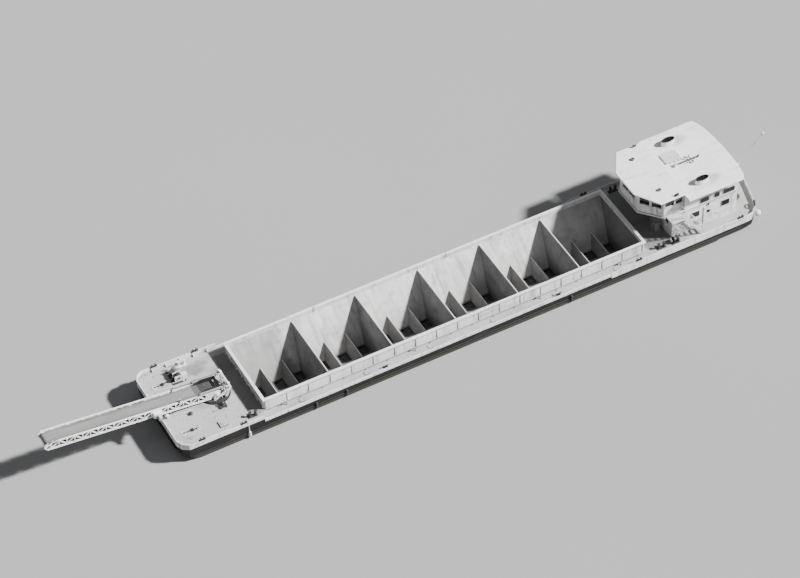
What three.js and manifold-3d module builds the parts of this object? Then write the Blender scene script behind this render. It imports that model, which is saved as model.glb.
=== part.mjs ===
// River barge with a self-unloading hold and a bow conveyor boom, as a 1:2 scale model.
// Frame: +X forward, +Y port, +Z up, origin amidships on the centreline at the waterline.
import * as THREE from 'three';
import { mergeVertices } from 'three/addons/utils/BufferGeometryUtils.js';
import { ConvexGeometry } from 'three/addons/geometries/ConvexGeometry.js';
import Module from 'manifold-3d';

const wasm = await Module();
wasm.setup();

// Driving dimensions. They are written as metres of the real barge; M turns one real metre
// into millimetres of the 1:2 model.
const M = 500;
const GAP = 0.0006; // clearance between touching pieces, real metres

// Hull
const BEAM_HALF = 4.44;
const STRAKE = 0.06; // thickness of the bulwark and sheer strake plating
const DECK_Z = 1.3;
const KEEL_Z = -1.3;
const BILGE = 0.3;
const BOW_X = 27.0;
const SHEER = 0.052; // rise of the foredeck for each metre forward

// Hold
const BAYS = 6;
const BAY = 5.76;
const HOLD_AFT = -15.33;
const HOLD_FORE = HOLD_AFT + BAYS * BAY;
const COAMING_TOP = 2.4;
const COAMING_HALF = 3.5;
const COAMING_WALL = 0.12;
const RIM_WIDTH = 0.12;
const RIM_DEPTH = 0.1;
const HOPPER_TOP_Z = 2.0;
const HOPPER_FOOT_Z = -0.75;
const TRENCH_HALF = 0.6;
const TRENCH_FLOOR_Z = -1.12;
const SADDLE_RUN = 0.75; // run of a saddle's slopes, to each side of its ridge
const LOW_SADDLE = { places: [1.92, 3.84], run: 0.5, ridgeZ: 0.2 }; // places from a bay's aft end

// Deckhouse and wheelhouse
const HOUSE_HALF = 3.3;
const HOUSE_FORE = -18.25;
const HOUSE_AFT = -24.5;
const HOUSE_WALL = 0.12;
const UPPER_FORE = -19.4;
const FLOOR_Z = 3.75;
const FLOOR_THICK = 0.15;
const HOUSE_ROOF_Z = 5.45;
const ROOF_THICK = 0.15;
const WHEELHOUSE_ROOF_Z = 5.85;
const WINDOW_SILL_Z = 4.75;
const WINDOW_HEAD_Z = 5.6;

// Boom
const SLEW_X = 22.1;
const BOOM_PIVOT_Z = 2.0;
const BOOM_REST_DEG = 7.3;
const BOOM_LENGTH = 14.45;
const GIRDER_HALF = 0.35;
const GIRDER_Y = 0.75; // outer face of a side girder
const GIRDER_PLATE = 0.07;
const DRUM_R = 0.24;
const CYLINDER_Y = 0.72;
const FRAME_HEAD = { x: -0.8, z: 0.5 }; // barrel pin, from the boom's pivot
const BOOM_LUG = { x: 3.2, z: 0.46 }; // rod pin, along and above the boom's axis

// Stern gear
const PROP_X = -22.5;
const PROP_Y = 2.0;
const PROP_Z = -0.7;
const PROP_R = 0.5;
const RUDDER_X = -23.15;

// Finishes
const finish = (color, roughness, metalness = 0) =>
  new THREE.MeshStandardMaterial({ color, roughness, metalness });
const WHITE = finish(0xe9eae8, 0.45);
const BLACK = finish(0x1b1c1e, 0.5);
const DECK = finish(0xa9adae, 0.7);
const HOPPER = finish(0xc4c6c4, 0.6);
const STEEL = finish(0x8a8d90, 0.4, 0.8);
const DARK = finish(0x3a3c3e, 0.6);
const BELT = finish(0x55575a, 0.8);
const GLASS = finish(0x202830, 0.1);
const BRONZE = finish(0xa0793c, 0.4, 0.9);

const barge = new THREE.Group();

function addPart(name, geometry, material, parent = barge) {
  const mesh = new THREE.Mesh(geometry, material.clone());
  mesh.name = name;
  parent.add(mesh);
  return mesh;
}

// Solids and their joins and cuts
function toSolid(geometry) {
  const bare = geometry.clone();
  bare.deleteAttribute('normal');
  bare.deleteAttribute('uv');
  const merged = mergeVertices(bare, 1e-3);
  return new wasm.Manifold(new wasm.Mesh({
    numProp: 3,
    vertProperties: new Float32Array(merged.attributes.position.array),
    triVerts: new Uint32Array(merged.index.array),
  }));
}

function toGeometry(solid) {
  const mesh = solid.getMesh();
  const geometry = new THREE.BufferGeometry();
  geometry.setAttribute('position', new THREE.BufferAttribute(new Float32Array(mesh.vertProperties), 3));
  geometry.setIndex(new THREE.BufferAttribute(new Uint32Array(mesh.triVerts), 1));
  geometry.computeVertexNormals();
  return geometry;
}

function join(...geometries) {
  return toGeometry(geometries.map(toSolid).reduce((sum, solid) => sum.add(solid)));
}

function cut(base, ...tools) {
  return toGeometry(tools.map(toSolid).reduce((rest, tool) => rest.subtract(tool), toSolid(base)));
}

// Basic forms; every argument is in real metres
function box([x0, y0, z0], [x1, y1, z1]) {
  const geometry = new THREE.BoxGeometry((x1 - x0) * M, (y1 - y0) * M, (z1 - z0) * M);
  return geometry.translate((x0 + x1) / 2 * M, (y0 + y1) / 2 * M, (z0 + z1) / 2 * M);
}

function convex(points) {
  return new ConvexGeometry(points.map(([x, y, z]) => new THREE.Vector3(x * M, y * M, z * M)));
}

// A bar between two points with a square section
function bar(from, to, width, height = width) {
  const start = new THREE.Vector3(...from).multiplyScalar(M);
  const end = new THREE.Vector3(...to).multiplyScalar(M);
  const run = end.clone().sub(start);
  const geometry = new THREE.BoxGeometry(run.length(), width * M, height * M);
  const along = run.clone().normalize();
  const up = Math.abs(along.z) > 0.99 ? new THREE.Vector3(1, 0, 0) : new THREE.Vector3(0, 0, 1);
  const side = up.cross(along).normalize();
  const basis = new THREE.Matrix4().makeBasis(along, side, along.clone().cross(side));
  return geometry.applyMatrix4(basis).translate(...start.add(end).multiplyScalar(0.5).toArray());
}

// A round bar between two points
function rod(from, to, radius, sides = 16, topRadius = radius) {
  const start = new THREE.Vector3(...from).multiplyScalar(M);
  const end = new THREE.Vector3(...to).multiplyScalar(M);
  const run = end.clone().sub(start);
  const geometry = new THREE.CylinderGeometry(topRadius * M, radius * M, run.length(), sides);
  const turn = new THREE.Quaternion().setFromUnitVectors(new THREE.Vector3(0, 1, 0), run.clone().normalize());
  return geometry.applyQuaternion(turn).translate(...start.add(end).multiplyScalar(0.5).toArray());
}

// A tube between two points, as a revolved ring section
function tube(from, to, inner, outer, sides = 24) {
  const start = new THREE.Vector3(...from).multiplyScalar(M);
  const run = new THREE.Vector3(...to).multiplyScalar(M).sub(start);
  const length = run.length();
  const section = [[inner, 0], [outer, 0], [outer, length / M], [inner, length / M], [inner, 0]];
  const geometry = new THREE.LatheGeometry(section.map(([r, h]) => new THREE.Vector2(r * M, h * M)), sides);
  const turn = new THREE.Quaternion().setFromUnitVectors(new THREE.Vector3(0, 1, 0), run.clone().normalize());
  return geometry.applyQuaternion(turn).translate(...start.toArray());
}

function shapeOf(points) {
  return new THREE.Shape(points.map(([a, b]) => new THREE.Vector2(a * M, b * M)));
}

// A plan outline extruded up from z0 to z1, with an optional inner outline left open
function slab(outline, z0, z1, hole = null) {
  const shape = shapeOf(outline);
  if (hole) shape.holes.push(shapeOf(hole));
  const geometry = new THREE.ExtrudeGeometry(shape, { depth: (z1 - z0) * M, bevelEnabled: false });
  return geometry.translate(0, 0, z0 * M);
}

// A side outline [x, z] extruded across from y0 to y1
function profile(outline, y0, y1, hole = null) {
  const shape = shapeOf(outline);
  if (hole) shape.holes.push(shapeOf(hole));
  const geometry = new THREE.ExtrudeGeometry(shape, { depth: (y1 - y0) * M, bevelEnabled: false });
  return geometry.rotateX(Math.PI / 2).translate(0, y1 * M, 0);
}

const mirrorY = (points) => points.map(([x, y]) => [x, -y]).reverse();
const bothSides = (points) => [...points, ...mirrorY(points)];

// Moves a closed counter-clockwise outline out by a distance, with mitred corners
function offset(points, distance) {
  const count = points.length;
  return points.map((point, i) => {
    const before = points[(i + count - 1) % count];
    const after = points[(i + 1) % count];
    const a = new THREE.Vector2(point[0] - before[0], point[1] - before[1]).normalize();
    const b = new THREE.Vector2(after[0] - point[0], after[1] - point[1]).normalize();
    const normalA = new THREE.Vector2(a.y, -a.x);
    const normalB = new THREE.Vector2(b.y, -b.x);
    const mitre = normalA.clone().add(normalB).divideScalar(1 + normalA.dot(normalB));
    return [point[0] + mitre.x * distance, point[1] + mitre.y * distance];
  });
}

const foredeckZ = (x) => DECK_Z + SHEER * (x - HOLD_FORE - COAMING_WALL);
const hopperHalf = (z) =>
  TRENCH_HALF + (z - HOPPER_FOOT_Z) / (HOPPER_TOP_Z - HOPPER_FOOT_Z)
    * (COAMING_HALF - COAMING_WALL - TRENCH_HALF);

// Hull blocks. Each row is one cross-section: place, half beam at the deck, half beam of the
// flat bottom, bottom height, and the height where the side turns into the bilge.
function hullBlock(sections, deckZ) {
  const points = sections.flatMap(({ x, beam, bottom, keel, turn }) => [-1, 1].flatMap((side) => [
    [x, side * beam, deckZ(x)],
    [x, side * beam, turn],
    [x, side * bottom, keel],
  ]));
  return convex(points);
}

const TURN_Z = KEEL_Z + BILGE;
const FLAT_HALF = BEAM_HALF - BILGE;
const bowSections = [
  { x: HOLD_FORE + GAP, beam: BEAM_HALF, bottom: FLAT_HALF, keel: KEEL_Z, turn: TURN_Z },
  { x: 22.0, beam: BEAM_HALF, bottom: FLAT_HALF, keel: KEEL_Z, turn: TURN_Z },
  { x: 24.6, beam: BEAM_HALF, bottom: 4.0, keel: -0.85, turn: -0.4 },
  { x: 26.3, beam: BEAM_HALF, bottom: 3.8, keel: -0.1, turn: 0.4 },
  { x: 26.76, beam: 4.14, bottom: 3.4, keel: 0.25, turn: 0.75 },
  { x: BOW_X, beam: 3.64, bottom: 2.9, keel: 0.5, turn: 0.95 },
];
const aftSections = [
  { x: HOLD_AFT - GAP, beam: BEAM_HALF, bottom: FLAT_HALF, keel: KEEL_Z, turn: TURN_Z },
  { x: -19.0, beam: BEAM_HALF, bottom: FLAT_HALF, keel: KEEL_Z, turn: TURN_Z },
  { x: -22.3, beam: BEAM_HALF, bottom: 4.1, keel: -0.15, turn: 0.15 },
];
const counterSections = [
  { x: -22.3 - GAP, beam: BEAM_HALF, bottom: 4.1, keel: -0.15, turn: 0.15 },
  { x: -24.8, beam: BEAM_HALF, bottom: 4.05, keel: -0.12, turn: 0.2 },
  { x: -25.4, beam: 4.36, bottom: 3.9, keel: -0.08, turn: 0.25 },
  { x: -25.9, beam: 3.92, bottom: 3.4, keel: 0.0, turn: 0.32 },
  { x: -26.25, beam: 3.15, bottom: 2.7, keel: 0.08, turn: 0.4 },
  { x: -26.7, beam: 1.6, bottom: 1.2, keel: 0.25, turn: 0.55 },
  { x: -27.0, beam: 0.4, bottom: 0.3, keel: 0.45, turn: 0.7 },
];

const slewRing = { outer: 1.3, well: 0.85, top: 1.55, wellFloor: 0.8 };
const anchorPocket = { x: 26.6, y0: 2.45, y1: 3.35, z0: 0.8, z1: 1.4 };
addPart('hull_bow', cut(
  join(
    hullBlock(bowSections, foredeckZ),
    rod([SLEW_X, 0, DECK_Z - 0.1], [SLEW_X, 0, slewRing.top], slewRing.outer, 32),
  ),
  rod([SLEW_X, 0, slewRing.wellFloor], [SLEW_X, 0, 2], slewRing.well, 32),
  box([anchorPocket.x, anchorPocket.y0, anchorPocket.z0], [BOW_X + 1, anchorPocket.y1, anchorPocket.z1]),
), BLACK);

// The side tanks carry the side decks, and their inner faces are the hopper's side slopes.
function sideTank(side) {
  const section = [
    [BEAM_HALF, DECK_Z], [BEAM_HALF, TURN_Z], [FLAT_HALF, KEEL_Z],
    [TRENCH_HALF, KEEL_Z], [TRENCH_HALF, HOPPER_FOOT_Z], [hopperHalf(DECK_Z), DECK_Z],
  ];
  return convex([HOLD_AFT, HOLD_FORE].flatMap((x) => section.map(([y, z]) => [x, side * y, z])));
}
const sides = [['port', 1], ['stbd', -1]];
sides.forEach(([label, side]) => addPart(`side_tank_${label}`, sideTank(side), BLACK));
addPart('tunnel_floor', box(
  [HOLD_AFT, -TRENCH_HALF + GAP, KEEL_Z],
  [HOLD_FORE, TRENCH_HALF - GAP, TRENCH_FLOOR_Z],
), DARK);
const tunnelBelt = { half: 0.42, low: TRENCH_FLOOR_Z + GAP, high: -0.97, inset: 0.2 };
addPart('tunnel_belt', box(
  [HOLD_AFT + tunnelBelt.inset, -tunnelBelt.half, tunnelBelt.low],
  [HOLD_FORE - tunnelBelt.inset, tunnelBelt.half, tunnelBelt.high],
), BELT);

// Engine room: a pocket under the deckhouse, with one block for each engine
const engineRoom = { x0: -21.4, x1: -18.6, half: 2.9, floor: -0.35 };
const shaftTube = { fore: -20.4, aft: -22.2, radius: 0.09 };
const strut = { x0: -22.15, x1: -21.95, half: 0.05 };
addPart('hull_aft', join(
  cut(
    hullBlock(aftSections, () => DECK_Z),
    box([engineRoom.x0, -engineRoom.half, engineRoom.floor], [engineRoom.x1, engineRoom.half, 2]),
  ),
  ...sides.flatMap(([, side]) => {
    const y = side * PROP_Y;
    return [
      rod([shaftTube.fore, y, PROP_Z], [shaftTube.aft, y, PROP_Z], shaftTube.radius, 12),
      box([strut.x0, y - strut.half, PROP_Z], [strut.x1, y + strut.half, 0]),
    ];
  }),
), BLACK);
const engine = { x0: -21.1, x1: -18.9, half: 0.5, height: 1.25 };
sides.forEach(([label, side]) => addPart(`engine_${label}`, box(
  [engine.x0, side * PROP_Y - engine.half, engineRoom.floor + GAP],
  [engine.x1, side * PROP_Y + engine.half, engineRoom.floor + engine.height],
), DARK));

const stockBore = { radius: 0.07, low: -1, top: 0.2 };
addPart('hull_counter', cut(
  hullBlock(counterSections, () => DECK_Z),
  ...sides.map(([, side]) => {
    const y = side * PROP_Y;
    return rod([RUDDER_X, y, stockBore.low], [RUDDER_X, y, stockBore.top], stockBore.radius, 16);
  }),
), BLACK);

// Hopper saddles: one across each bay's end, with a sharp ridge. The two at the hold's ends
// are half saddles against the end coamings.
for (let i = 0; i <= BAYS; i += 1) {
  const ridge = HOLD_AFT + i * BAY;
  const aft = i === 0 ? ridge + GAP : ridge - SADDLE_RUN;
  const fore = i === BAYS ? ridge - GAP : ridge + SADDLE_RUN;
  const ridgeX = i === 0 ? ridge + GAP : (i === BAYS ? ridge - GAP : ridge);
  const top = hopperHalf(HOPPER_TOP_Z) - 2 * GAP;
  const foot = TRENCH_HALF - 2 * GAP;
  addPart(`hopper_saddle_${i}`, convex([-1, 1].flatMap((side) => [
    [ridgeX, side * top, HOPPER_TOP_Z],
    [aft, side * foot, HOPPER_FOOT_Z + GAP],
    [fore, side * foot, HOPPER_FOOT_Z + GAP],
  ])), HOPPER);
}

// Outlet gates: two sills along the trench, joined by the low saddles between a bay's outlets
const sill = { inner: 0.48, outer: TRENCH_HALF - 2 * GAP, low: -0.86 };
function lowSaddle(ridge) {
  const low = HOPPER_FOOT_Z - 0.05;
  const foot = sill.outer;
  const top = hopperHalf(LOW_SADDLE.ridgeZ) - 3 * GAP;
  const { run, ridgeZ } = LOW_SADDLE;
  return convex([-1, 1].flatMap((side) => [
    [ridge - run, side * (hopperHalf(low) - GAP), low],
    [ridge + run, side * (hopperHalf(low) - GAP), low],
    [ridge - run, side * foot, HOPPER_FOOT_Z],
    [ridge + run, side * foot, HOPPER_FOOT_Z],
    [ridge, side * top, ridgeZ],
  ]));
}
const lowRidges = Array.from({ length: BAYS }, (_, bay) =>
  LOW_SADDLE.places.map((place) => HOLD_AFT + bay * BAY + place)).flat();
addPart('outlet_gates', join(
  ...sides.map(([, side]) => {
    const y = [side * sill.inner, side * sill.outer].sort((a, b) => a - b);
    return box([HOLD_AFT + GAP, y[0], sill.low], [HOLD_FORE - GAP, y[1], HOPPER_FOOT_Z]);
  }),
  ...lowRidges.map(lowSaddle),
), HOPPER);

// Hold coaming: an upright plate round the hold with a rim, and the slopes' upper strips inside
const rectangle = (x0, x1, half) => [[x1, -half], [x1, half], [x0, half], [x0, -half]];
const coamingOuter = rectangle(HOLD_AFT - COAMING_WALL, HOLD_FORE + COAMING_WALL, COAMING_HALF);
const coamingInner = offset(coamingOuter, -COAMING_WALL);
addPart('hold_coaming', join(
  slab(coamingOuter, DECK_Z + GAP, COAMING_TOP, coamingInner),
  slab(offset(coamingOuter, RIM_WIDTH), COAMING_TOP - RIM_DEPTH, COAMING_TOP, coamingInner),
  ...sides.map(([, side]) => {
    const wall = COAMING_HALF - COAMING_WALL / 2;
    return convex([HOLD_AFT, HOLD_FORE].flatMap((x) => [
      [x, side * hopperHalf(DECK_Z + GAP), DECK_Z + GAP],
      [x, side * wall, DECK_Z + GAP],
      [x, side * wall, HOPPER_TOP_Z],
      [x, side * hopperHalf(HOPPER_TOP_Z), HOPPER_TOP_Z],
    ]));
  }),
), WHITE);

// Bulwarks and sheer strakes: plating on the hull's side, standing above the deck edge
const bowOutline = bothSides([[BOW_X, 3.64], [26.76, 4.14], [26.3, BEAM_HALF], [19.0, BEAM_HALF]]);
const BOW_STRAKE = { aft: 19.8, low: 1.42, topAft: 1.72, topFore: 2.0 };
const sternOutline = [
  [-11.0, -BEAM_HALF], [-11.0, BEAM_HALF], ...counterSections.slice(1).map(({ x, beam }) => [x, beam]),
  ...counterSections.slice(1).reverse().map(({ x, beam }) => [x, -beam]),
];
const STERN_STRAKE = { fore: -11.8, ramp: -13.2, low: 0.88, top: 1.6, topFore: 1.38 };

function strakeRing(outline, low, high) {
  return slab(offset(outline, STRAKE), low, high, offset(outline, GAP));
}

const foreEdge = BOW_X + STRAKE + 0.1;
addPart('bulwark_bow', cut(
  strakeRing(bowOutline, BOW_STRAKE.low, BOW_STRAKE.topFore),
  box([18, -5, 1], [BOW_STRAKE.aft, 5, 3]),
  convex([-5, 5].flatMap((y) => [
    [18, y, BOW_STRAKE.topAft - 0.06], [18, y, 3], [foreEdge, y, 3], [foreEdge, y, BOW_STRAKE.topFore],
  ])),
), WHITE);
addPart('bulwark_stern', cut(
  strakeRing(sternOutline, STERN_STRAKE.low, STERN_STRAKE.top),
  box([STERN_STRAKE.fore, -5, 0], [-10, 5, 3]),
  convex([-5, 5].flatMap((y) => [
    [STERN_STRAKE.ramp, y, STERN_STRAKE.top], [STERN_STRAKE.ramp, y, 3],
    [-11, y, 3], [-11, y, STERN_STRAKE.topFore - 0.1],
  ])),
), WHITE);
sides.forEach(([label, side]) => {
  const y = [side * (BEAM_HALF + GAP), side * (BEAM_HALF + STRAKE)].sort((a, b) => a - b);
  addPart(`sheer_strake_${label}`, box(
    [STERN_STRAKE.fore + GAP, y[0], 1.1],
    [BOW_STRAKE.aft - GAP, y[1], STERN_STRAKE.topFore],
  ), WHITE);
});

// Deckhouse: the lower storey on the main deck and the upper one under the aft roof
const houseOutline = (fore) => rectangle(HOUSE_AFT, fore, HOUSE_HALF);
const door = { x0: -22.1, x1: -21.3, z0: 1.5, z1: 3.3, thick: 0.05, clear: 0.011, lap: 0.04 };
addPart('house_lower_walls', cut(
  slab(houseOutline(HOUSE_FORE), DECK_Z + GAP, FLOOR_Z - GAP, offset(houseOutline(HOUSE_FORE), -HOUSE_WALL)),
  box([door.x0, -5, door.z0], [door.x1, 5, door.z1]),
), WHITE);
addPart('house_upper_walls', cut(
  slab(houseOutline(UPPER_FORE), FLOOR_Z + FLOOR_THICK + GAP, HOUSE_ROOF_Z - GAP,
    offset(houseOutline(UPPER_FORE), -HOUSE_WALL)),
  box([UPPER_FORE - HOUSE_WALL - 0.1, -3.0, 3], [UPPER_FORE + 1, 3.0, 6]),
), WHITE);

const wheelhouseWall = { thick: 0.1, outline: bothSides([[-19.38, -3.1], [-17.5, -3.1], [-16.05, -1.4]]) };
const landing = { fore: -17.7, aft: -18.9, half: 4.2 };
const bridgeHalf = [
  [HOUSE_AFT - 0.05, -3.4], [landing.aft, -3.4], [landing.aft, -landing.half],
  [landing.fore, -landing.half], [landing.fore, -3.25], [-17.5, -3.25], [-15.95, -1.45],
];
addPart('bridge_deck', slab(bothSides(bridgeHalf), FLOOR_Z, FLOOR_Z + FLOOR_THICK), DECK);

// Wheelhouse: an eight-sided front with a band of windows, closed aft by a wall with a doorway
const windowWidth = 0.86;
function windowCutter([x, y], turn, width = windowWidth) {
  const depth = 0.6;
  const geometry = box([-depth, -width / 2, WINDOW_SILL_Z], [depth, width / 2, WINDOW_HEAD_Z]);
  return geometry.rotateZ(turn).translate(x * M, y * M, 0);
}
const chamferTurn = Math.atan2(1.45, 1.7);
const windowPlaces = [
  { at: [-16.05, 0.48], turn: 0 },
  { at: [-16.42, 1.83], turn: chamferTurn },
  { at: [-17.1, 2.63], turn: chamferTurn },
  { at: [-18.05, 3.1], turn: Math.PI / 2 },
  { at: [-18.95, 3.1], turn: Math.PI / 2, width: 0.7 },
];
const wheelhouseBottom = FLOOR_Z + FLOOR_THICK + GAP;
addPart('wheelhouse_walls', cut(
  slab(wheelhouseWall.outline, wheelhouseBottom, WHEELHOUSE_ROOF_Z - GAP,
    offset(wheelhouseWall.outline, -wheelhouseWall.thick)),
  ...windowPlaces.flatMap(({ at: [x, y], turn, width }) => [
    windowCutter([x, y], turn, width),
    windowCutter([x, -y], -turn, width),
  ]),
  box([-19.6, -0.4, wheelhouseBottom + 0.05], [-19.0, 0.4, 5.3]),
), WHITE);
const glassOuter = offset(wheelhouseWall.outline, -wheelhouseWall.thick - GAP);
addPart('wheelhouse_glass', cut(
  slab(glassOuter, WINDOW_SILL_Z - 0.06, WINDOW_HEAD_Z + 0.06, offset(glassOuter, -0.02)),
  box([-20, -5, 4], [-19.2, 5, 6]),
), GLASS);
const vent = { x: -17.65, y: 2.09, radius: 0.17, height: 0.12 };
const wheelhouseRoof = bothSides([[-19.45, -3.5], [-16.95, -3.5], [-15.65, -1.43]]);
addPart('wheelhouse_roof', join(
  slab(wheelhouseRoof, WHEELHOUSE_ROOF_Z, WHEELHOUSE_ROOF_Z + ROOF_THICK),
  ...sides.map(([, side]) => rod(
    [vent.x, side * vent.y, WHEELHOUSE_ROOF_Z + 0.1],
    [vent.x, side * vent.y, WHEELHOUSE_ROOF_Z + ROOF_THICK + vent.height],
    vent.radius,
    16,
  )),
), WHITE);
const helm = { aft: -17.2, fore: -16.7, half: 0.9, desk: wheelhouseBottom + 0.95, hood: 0.2 };
addPart('helm_console', join(
  box([helm.aft, -helm.half, wheelhouseBottom], [helm.fore, helm.half, helm.desk]),
  convex([-helm.half, helm.half].flatMap((y) => [
    [helm.aft, y, helm.desk - 0.05],
    [helm.fore, y, helm.desk - 0.05],
    [helm.fore, y, helm.desk + helm.hood],
  ])),
), DARK);
const seat = { x: -18.1, z: wheelhouseBottom, pad: 0.42, padTop: 0.55, back: 1.15, half: 0.25 };
addPart('helm_seat', join(
  rod([seat.x, 0, seat.z], [seat.x, 0, seat.z + seat.pad + 0.03], 0.06, 12),
  rod([seat.x, 0, seat.z], [seat.x, 0, seat.z + 0.03], 0.25, 16),
  box([seat.x - 0.27, -seat.half, seat.z + seat.pad], [seat.x + seat.half, seat.half, seat.z + seat.padTop]),
  box([seat.x - 0.32, -seat.half, seat.z + seat.pad], [seat.x - 0.2, seat.half, seat.z + seat.back]),
), DARK);

// Aft roof with the mast's foot and crutch and a low hatch
const roofTop = HOUSE_ROOF_Z + ROOF_THICK;
const sunk = roofTop - 0.05; // pieces welded on the roof start a little inside it
const mast = {
  x: -20.5, z: roofTop + 0.16, length: 2.3, radius: 0.055,
  yard: { x: -1.5, half: 0.45, radius: 0.03 },
  lamp: { x: -2.18, low: -0.08, top: 0.12, radius: 0.08 },
  cheek: { half: 0.12, y0: 0.085, y1: 0.135, above: 0.1 },
  crutch: { x0: -1.9, x1: -1.84, half: 0.09, below: 0.067 },
};
const aftEdge = (y) => -25.15 + 0.3 * (y / 3.4) ** 2;
const roofHalf = [
  ...[1.2, 2.4, 3.4].map((y) => [aftEdge(y), -y]),
  [-24.55, -3.94], [-24.3, -4.0], [-19.39, -4.0],
];
const hatch = { x0: -21.4, x1: -20.0, y0: -1.6, y1: -0.5, high: 0.12 };
addPart('house_roof', join(
  slab(bothSides(roofHalf), HOUSE_ROOF_Z, roofTop),
  box([hatch.x0, hatch.y0, sunk], [hatch.x1, hatch.y1, roofTop + hatch.high]),
  ...[-1, 1].map((side) => {
    const y = [side * mast.cheek.y0, side * mast.cheek.y1].sort((a, b) => a - b);
    return box(
      [mast.x - mast.cheek.half, y[0], sunk],
      [mast.x + mast.cheek.half, y[1], mast.z + mast.cheek.above],
    );
  }),
  box(
    [mast.x + mast.crutch.x0, -mast.crutch.half, sunk],
    [mast.x + mast.crutch.x1, mast.crutch.half, mast.z - mast.crutch.below],
  ),
), WHITE);

// Exhaust funnels with an open oval top
const funnel = { x: -21.4, y: 2.65, long: 0.62, wide: 0.3, high: 0.45, wall: 0.06, base: 0.15 };
function oval(cx, cy, a, b, count = 24) {
  return Array.from({ length: count }, (_, i) => {
    const angle = i / count * 2 * Math.PI;
    return [cx + a * Math.cos(angle), cy + b * Math.sin(angle)];
  });
}
sides.forEach(([label, side]) => {
  const cy = side * funnel.y;
  const outer = oval(funnel.x, cy, funnel.long, funnel.wide);
  const inner = oval(funnel.x, cy, funnel.long - funnel.wall, funnel.wide - funnel.wall);
  addPart(`funnel_${label}`, cut(
    slab(outer, roofTop + GAP, roofTop + funnel.high),
    slab(inner, roofTop + funnel.base, roofTop + 1),
  ), WHITE);
});

// Ladder from the side deck up to the bridge deck's port landing
const stair = { x0: -20.75, x1: landing.aft - GAP, y0: 3.48, y1: 4.12, steps: 9, plate: 0.05 };
const stairRise = FLOOR_Z + FLOOR_THICK - DECK_Z;
const stringer = (y) => profile([
  [stair.x0 - 0.1, DECK_Z + GAP], [stair.x0 + 0.12, DECK_Z + GAP],
  [stair.x1, FLOOR_Z - 0.12], [stair.x1, FLOOR_Z + FLOOR_THICK],
], y, y + stair.plate);
addPart('bridge_stair', join(
  stringer(stair.y0),
  stringer(stair.y1 - stair.plate),
  ...Array.from({ length: stair.steps }, (_, i) => {
    const share = (i + 1) / (stair.steps + 1);
    const x = stair.x0 + share * (stair.x1 - stair.x0);
    const z = DECK_Z + share * stairRise - 0.05;
    return box([x - 0.13, stair.y0 + 0.02, z - 0.03], [x + 0.08, stair.y1 - 0.02, z]);
  }),
), DECK);

// Staff at the stern, leaning aft from its post
const staffPost = { x: -26.75, top: 2.95, radius: 0.06 };
const staff = { low: [-26.7, 0, 2.8], tip: [-28.95, 0, 5.25], radius: 0.035 };
addPart('stern_staff', join(
  rod([staffPost.x, 0, DECK_Z + GAP], [staffPost.x, 0, staffPost.top], staffPost.radius, 12),
  rod(staff.low, staff.tip, staff.radius, 10),
), WHITE);

// Deck gear: double bollards on their plates
const post = { spread: 0.24, radius: 0.1, high: 0.48, cap: 0.14, capTop: 0.52 };
const bollardPlate = { half: 0.42, wide: 0.17, high: 0.05 };
const bollardPlaces = [
  { name: 'bollard_bow_port', x: 20.5, y: 3.7 },
  { name: 'bollard_bow_stbd', x: 23.1, y: -3.9 },
  { name: 'bollard_stern_port', x: -16.9, y: 3.85 },
  { name: 'bollard_stern_stbd', x: -16.9, y: -3.85 },
];
bollardPlaces.forEach(({ name, x, y }) => {
  const pair = join(
    box(
      [-bollardPlate.half, -bollardPlate.wide, 0],
      [bollardPlate.half, bollardPlate.wide, bollardPlate.high],
    ),
    ...[-post.spread, post.spread].flatMap((at) => [
      rod([at, 0, bollardPlate.high / 2], [at, 0, post.high], post.radius, 16),
      rod([at, 0, post.high - 0.03], [at, 0, post.capTop], post.cap, 16),
    ]),
  );
  const onForedeck = x > HOLD_FORE;
  const tilt = onForedeck ? -Math.atan(SHEER) : 0;
  const z = (onForedeck ? foredeckZ(x) : DECK_Z) + 2 * GAP;
  addPart(name, pair.rotateY(tilt).translate(x * M, y * M, z * M), BLACK);
});

// Windlass: base plate, three standards, shaft, warping drum, chain wheel and motor case
const windlass = { x: 24.0, y: -2.9, shaftZ: 0.45, sunk: 0.05 };
const windlassBase = { long: 0.55, wide: 0.75, high: 0.08 };
const windlassStandard = { places: [-0.5, 0.1, 0.55], half: 0.35, thick: 0.04, top: 0.62 };
const windlassMotor = { aft: -0.75, fore: -0.3, y0: 0.15, y1: 0.6, top: 0.5 };
const windlassTurned = [
  { y0: -0.68, y1: 0.68, radius: 0.09, sides: 16 },
  { y0: -0.46, y1: 0.06, radius: 0.26, sides: 20 },
  { y0: 0.2, y1: 0.48, radius: 0.3, sides: 12 },
];
const windlassGeometry = join(
  box([-windlassBase.long, -windlassBase.wide, 0], [windlassBase.long, windlassBase.wide, windlassBase.high]),
  ...windlassStandard.places.map((y) => box(
    [-windlassStandard.half, y - windlassStandard.thick, windlass.sunk],
    [windlassStandard.half, y + windlassStandard.thick, windlassStandard.top],
  )),
  ...windlassTurned.map(({ y0, y1, radius, sides: count }) =>
    rod([0, y0, windlass.shaftZ], [0, y1, windlass.shaftZ], radius, count)),
  box(
    [windlassMotor.aft, windlassMotor.y0, windlass.sunk],
    [windlassMotor.fore, windlassMotor.y1, windlassMotor.top],
  ),
);
addPart('windlass', windlassGeometry.rotateY(-Math.atan(SHEER))
  .translate(windlass.x * M, windlass.y * M, (foredeckZ(windlass.x) + 2 * GAP) * M), WHITE);

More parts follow.
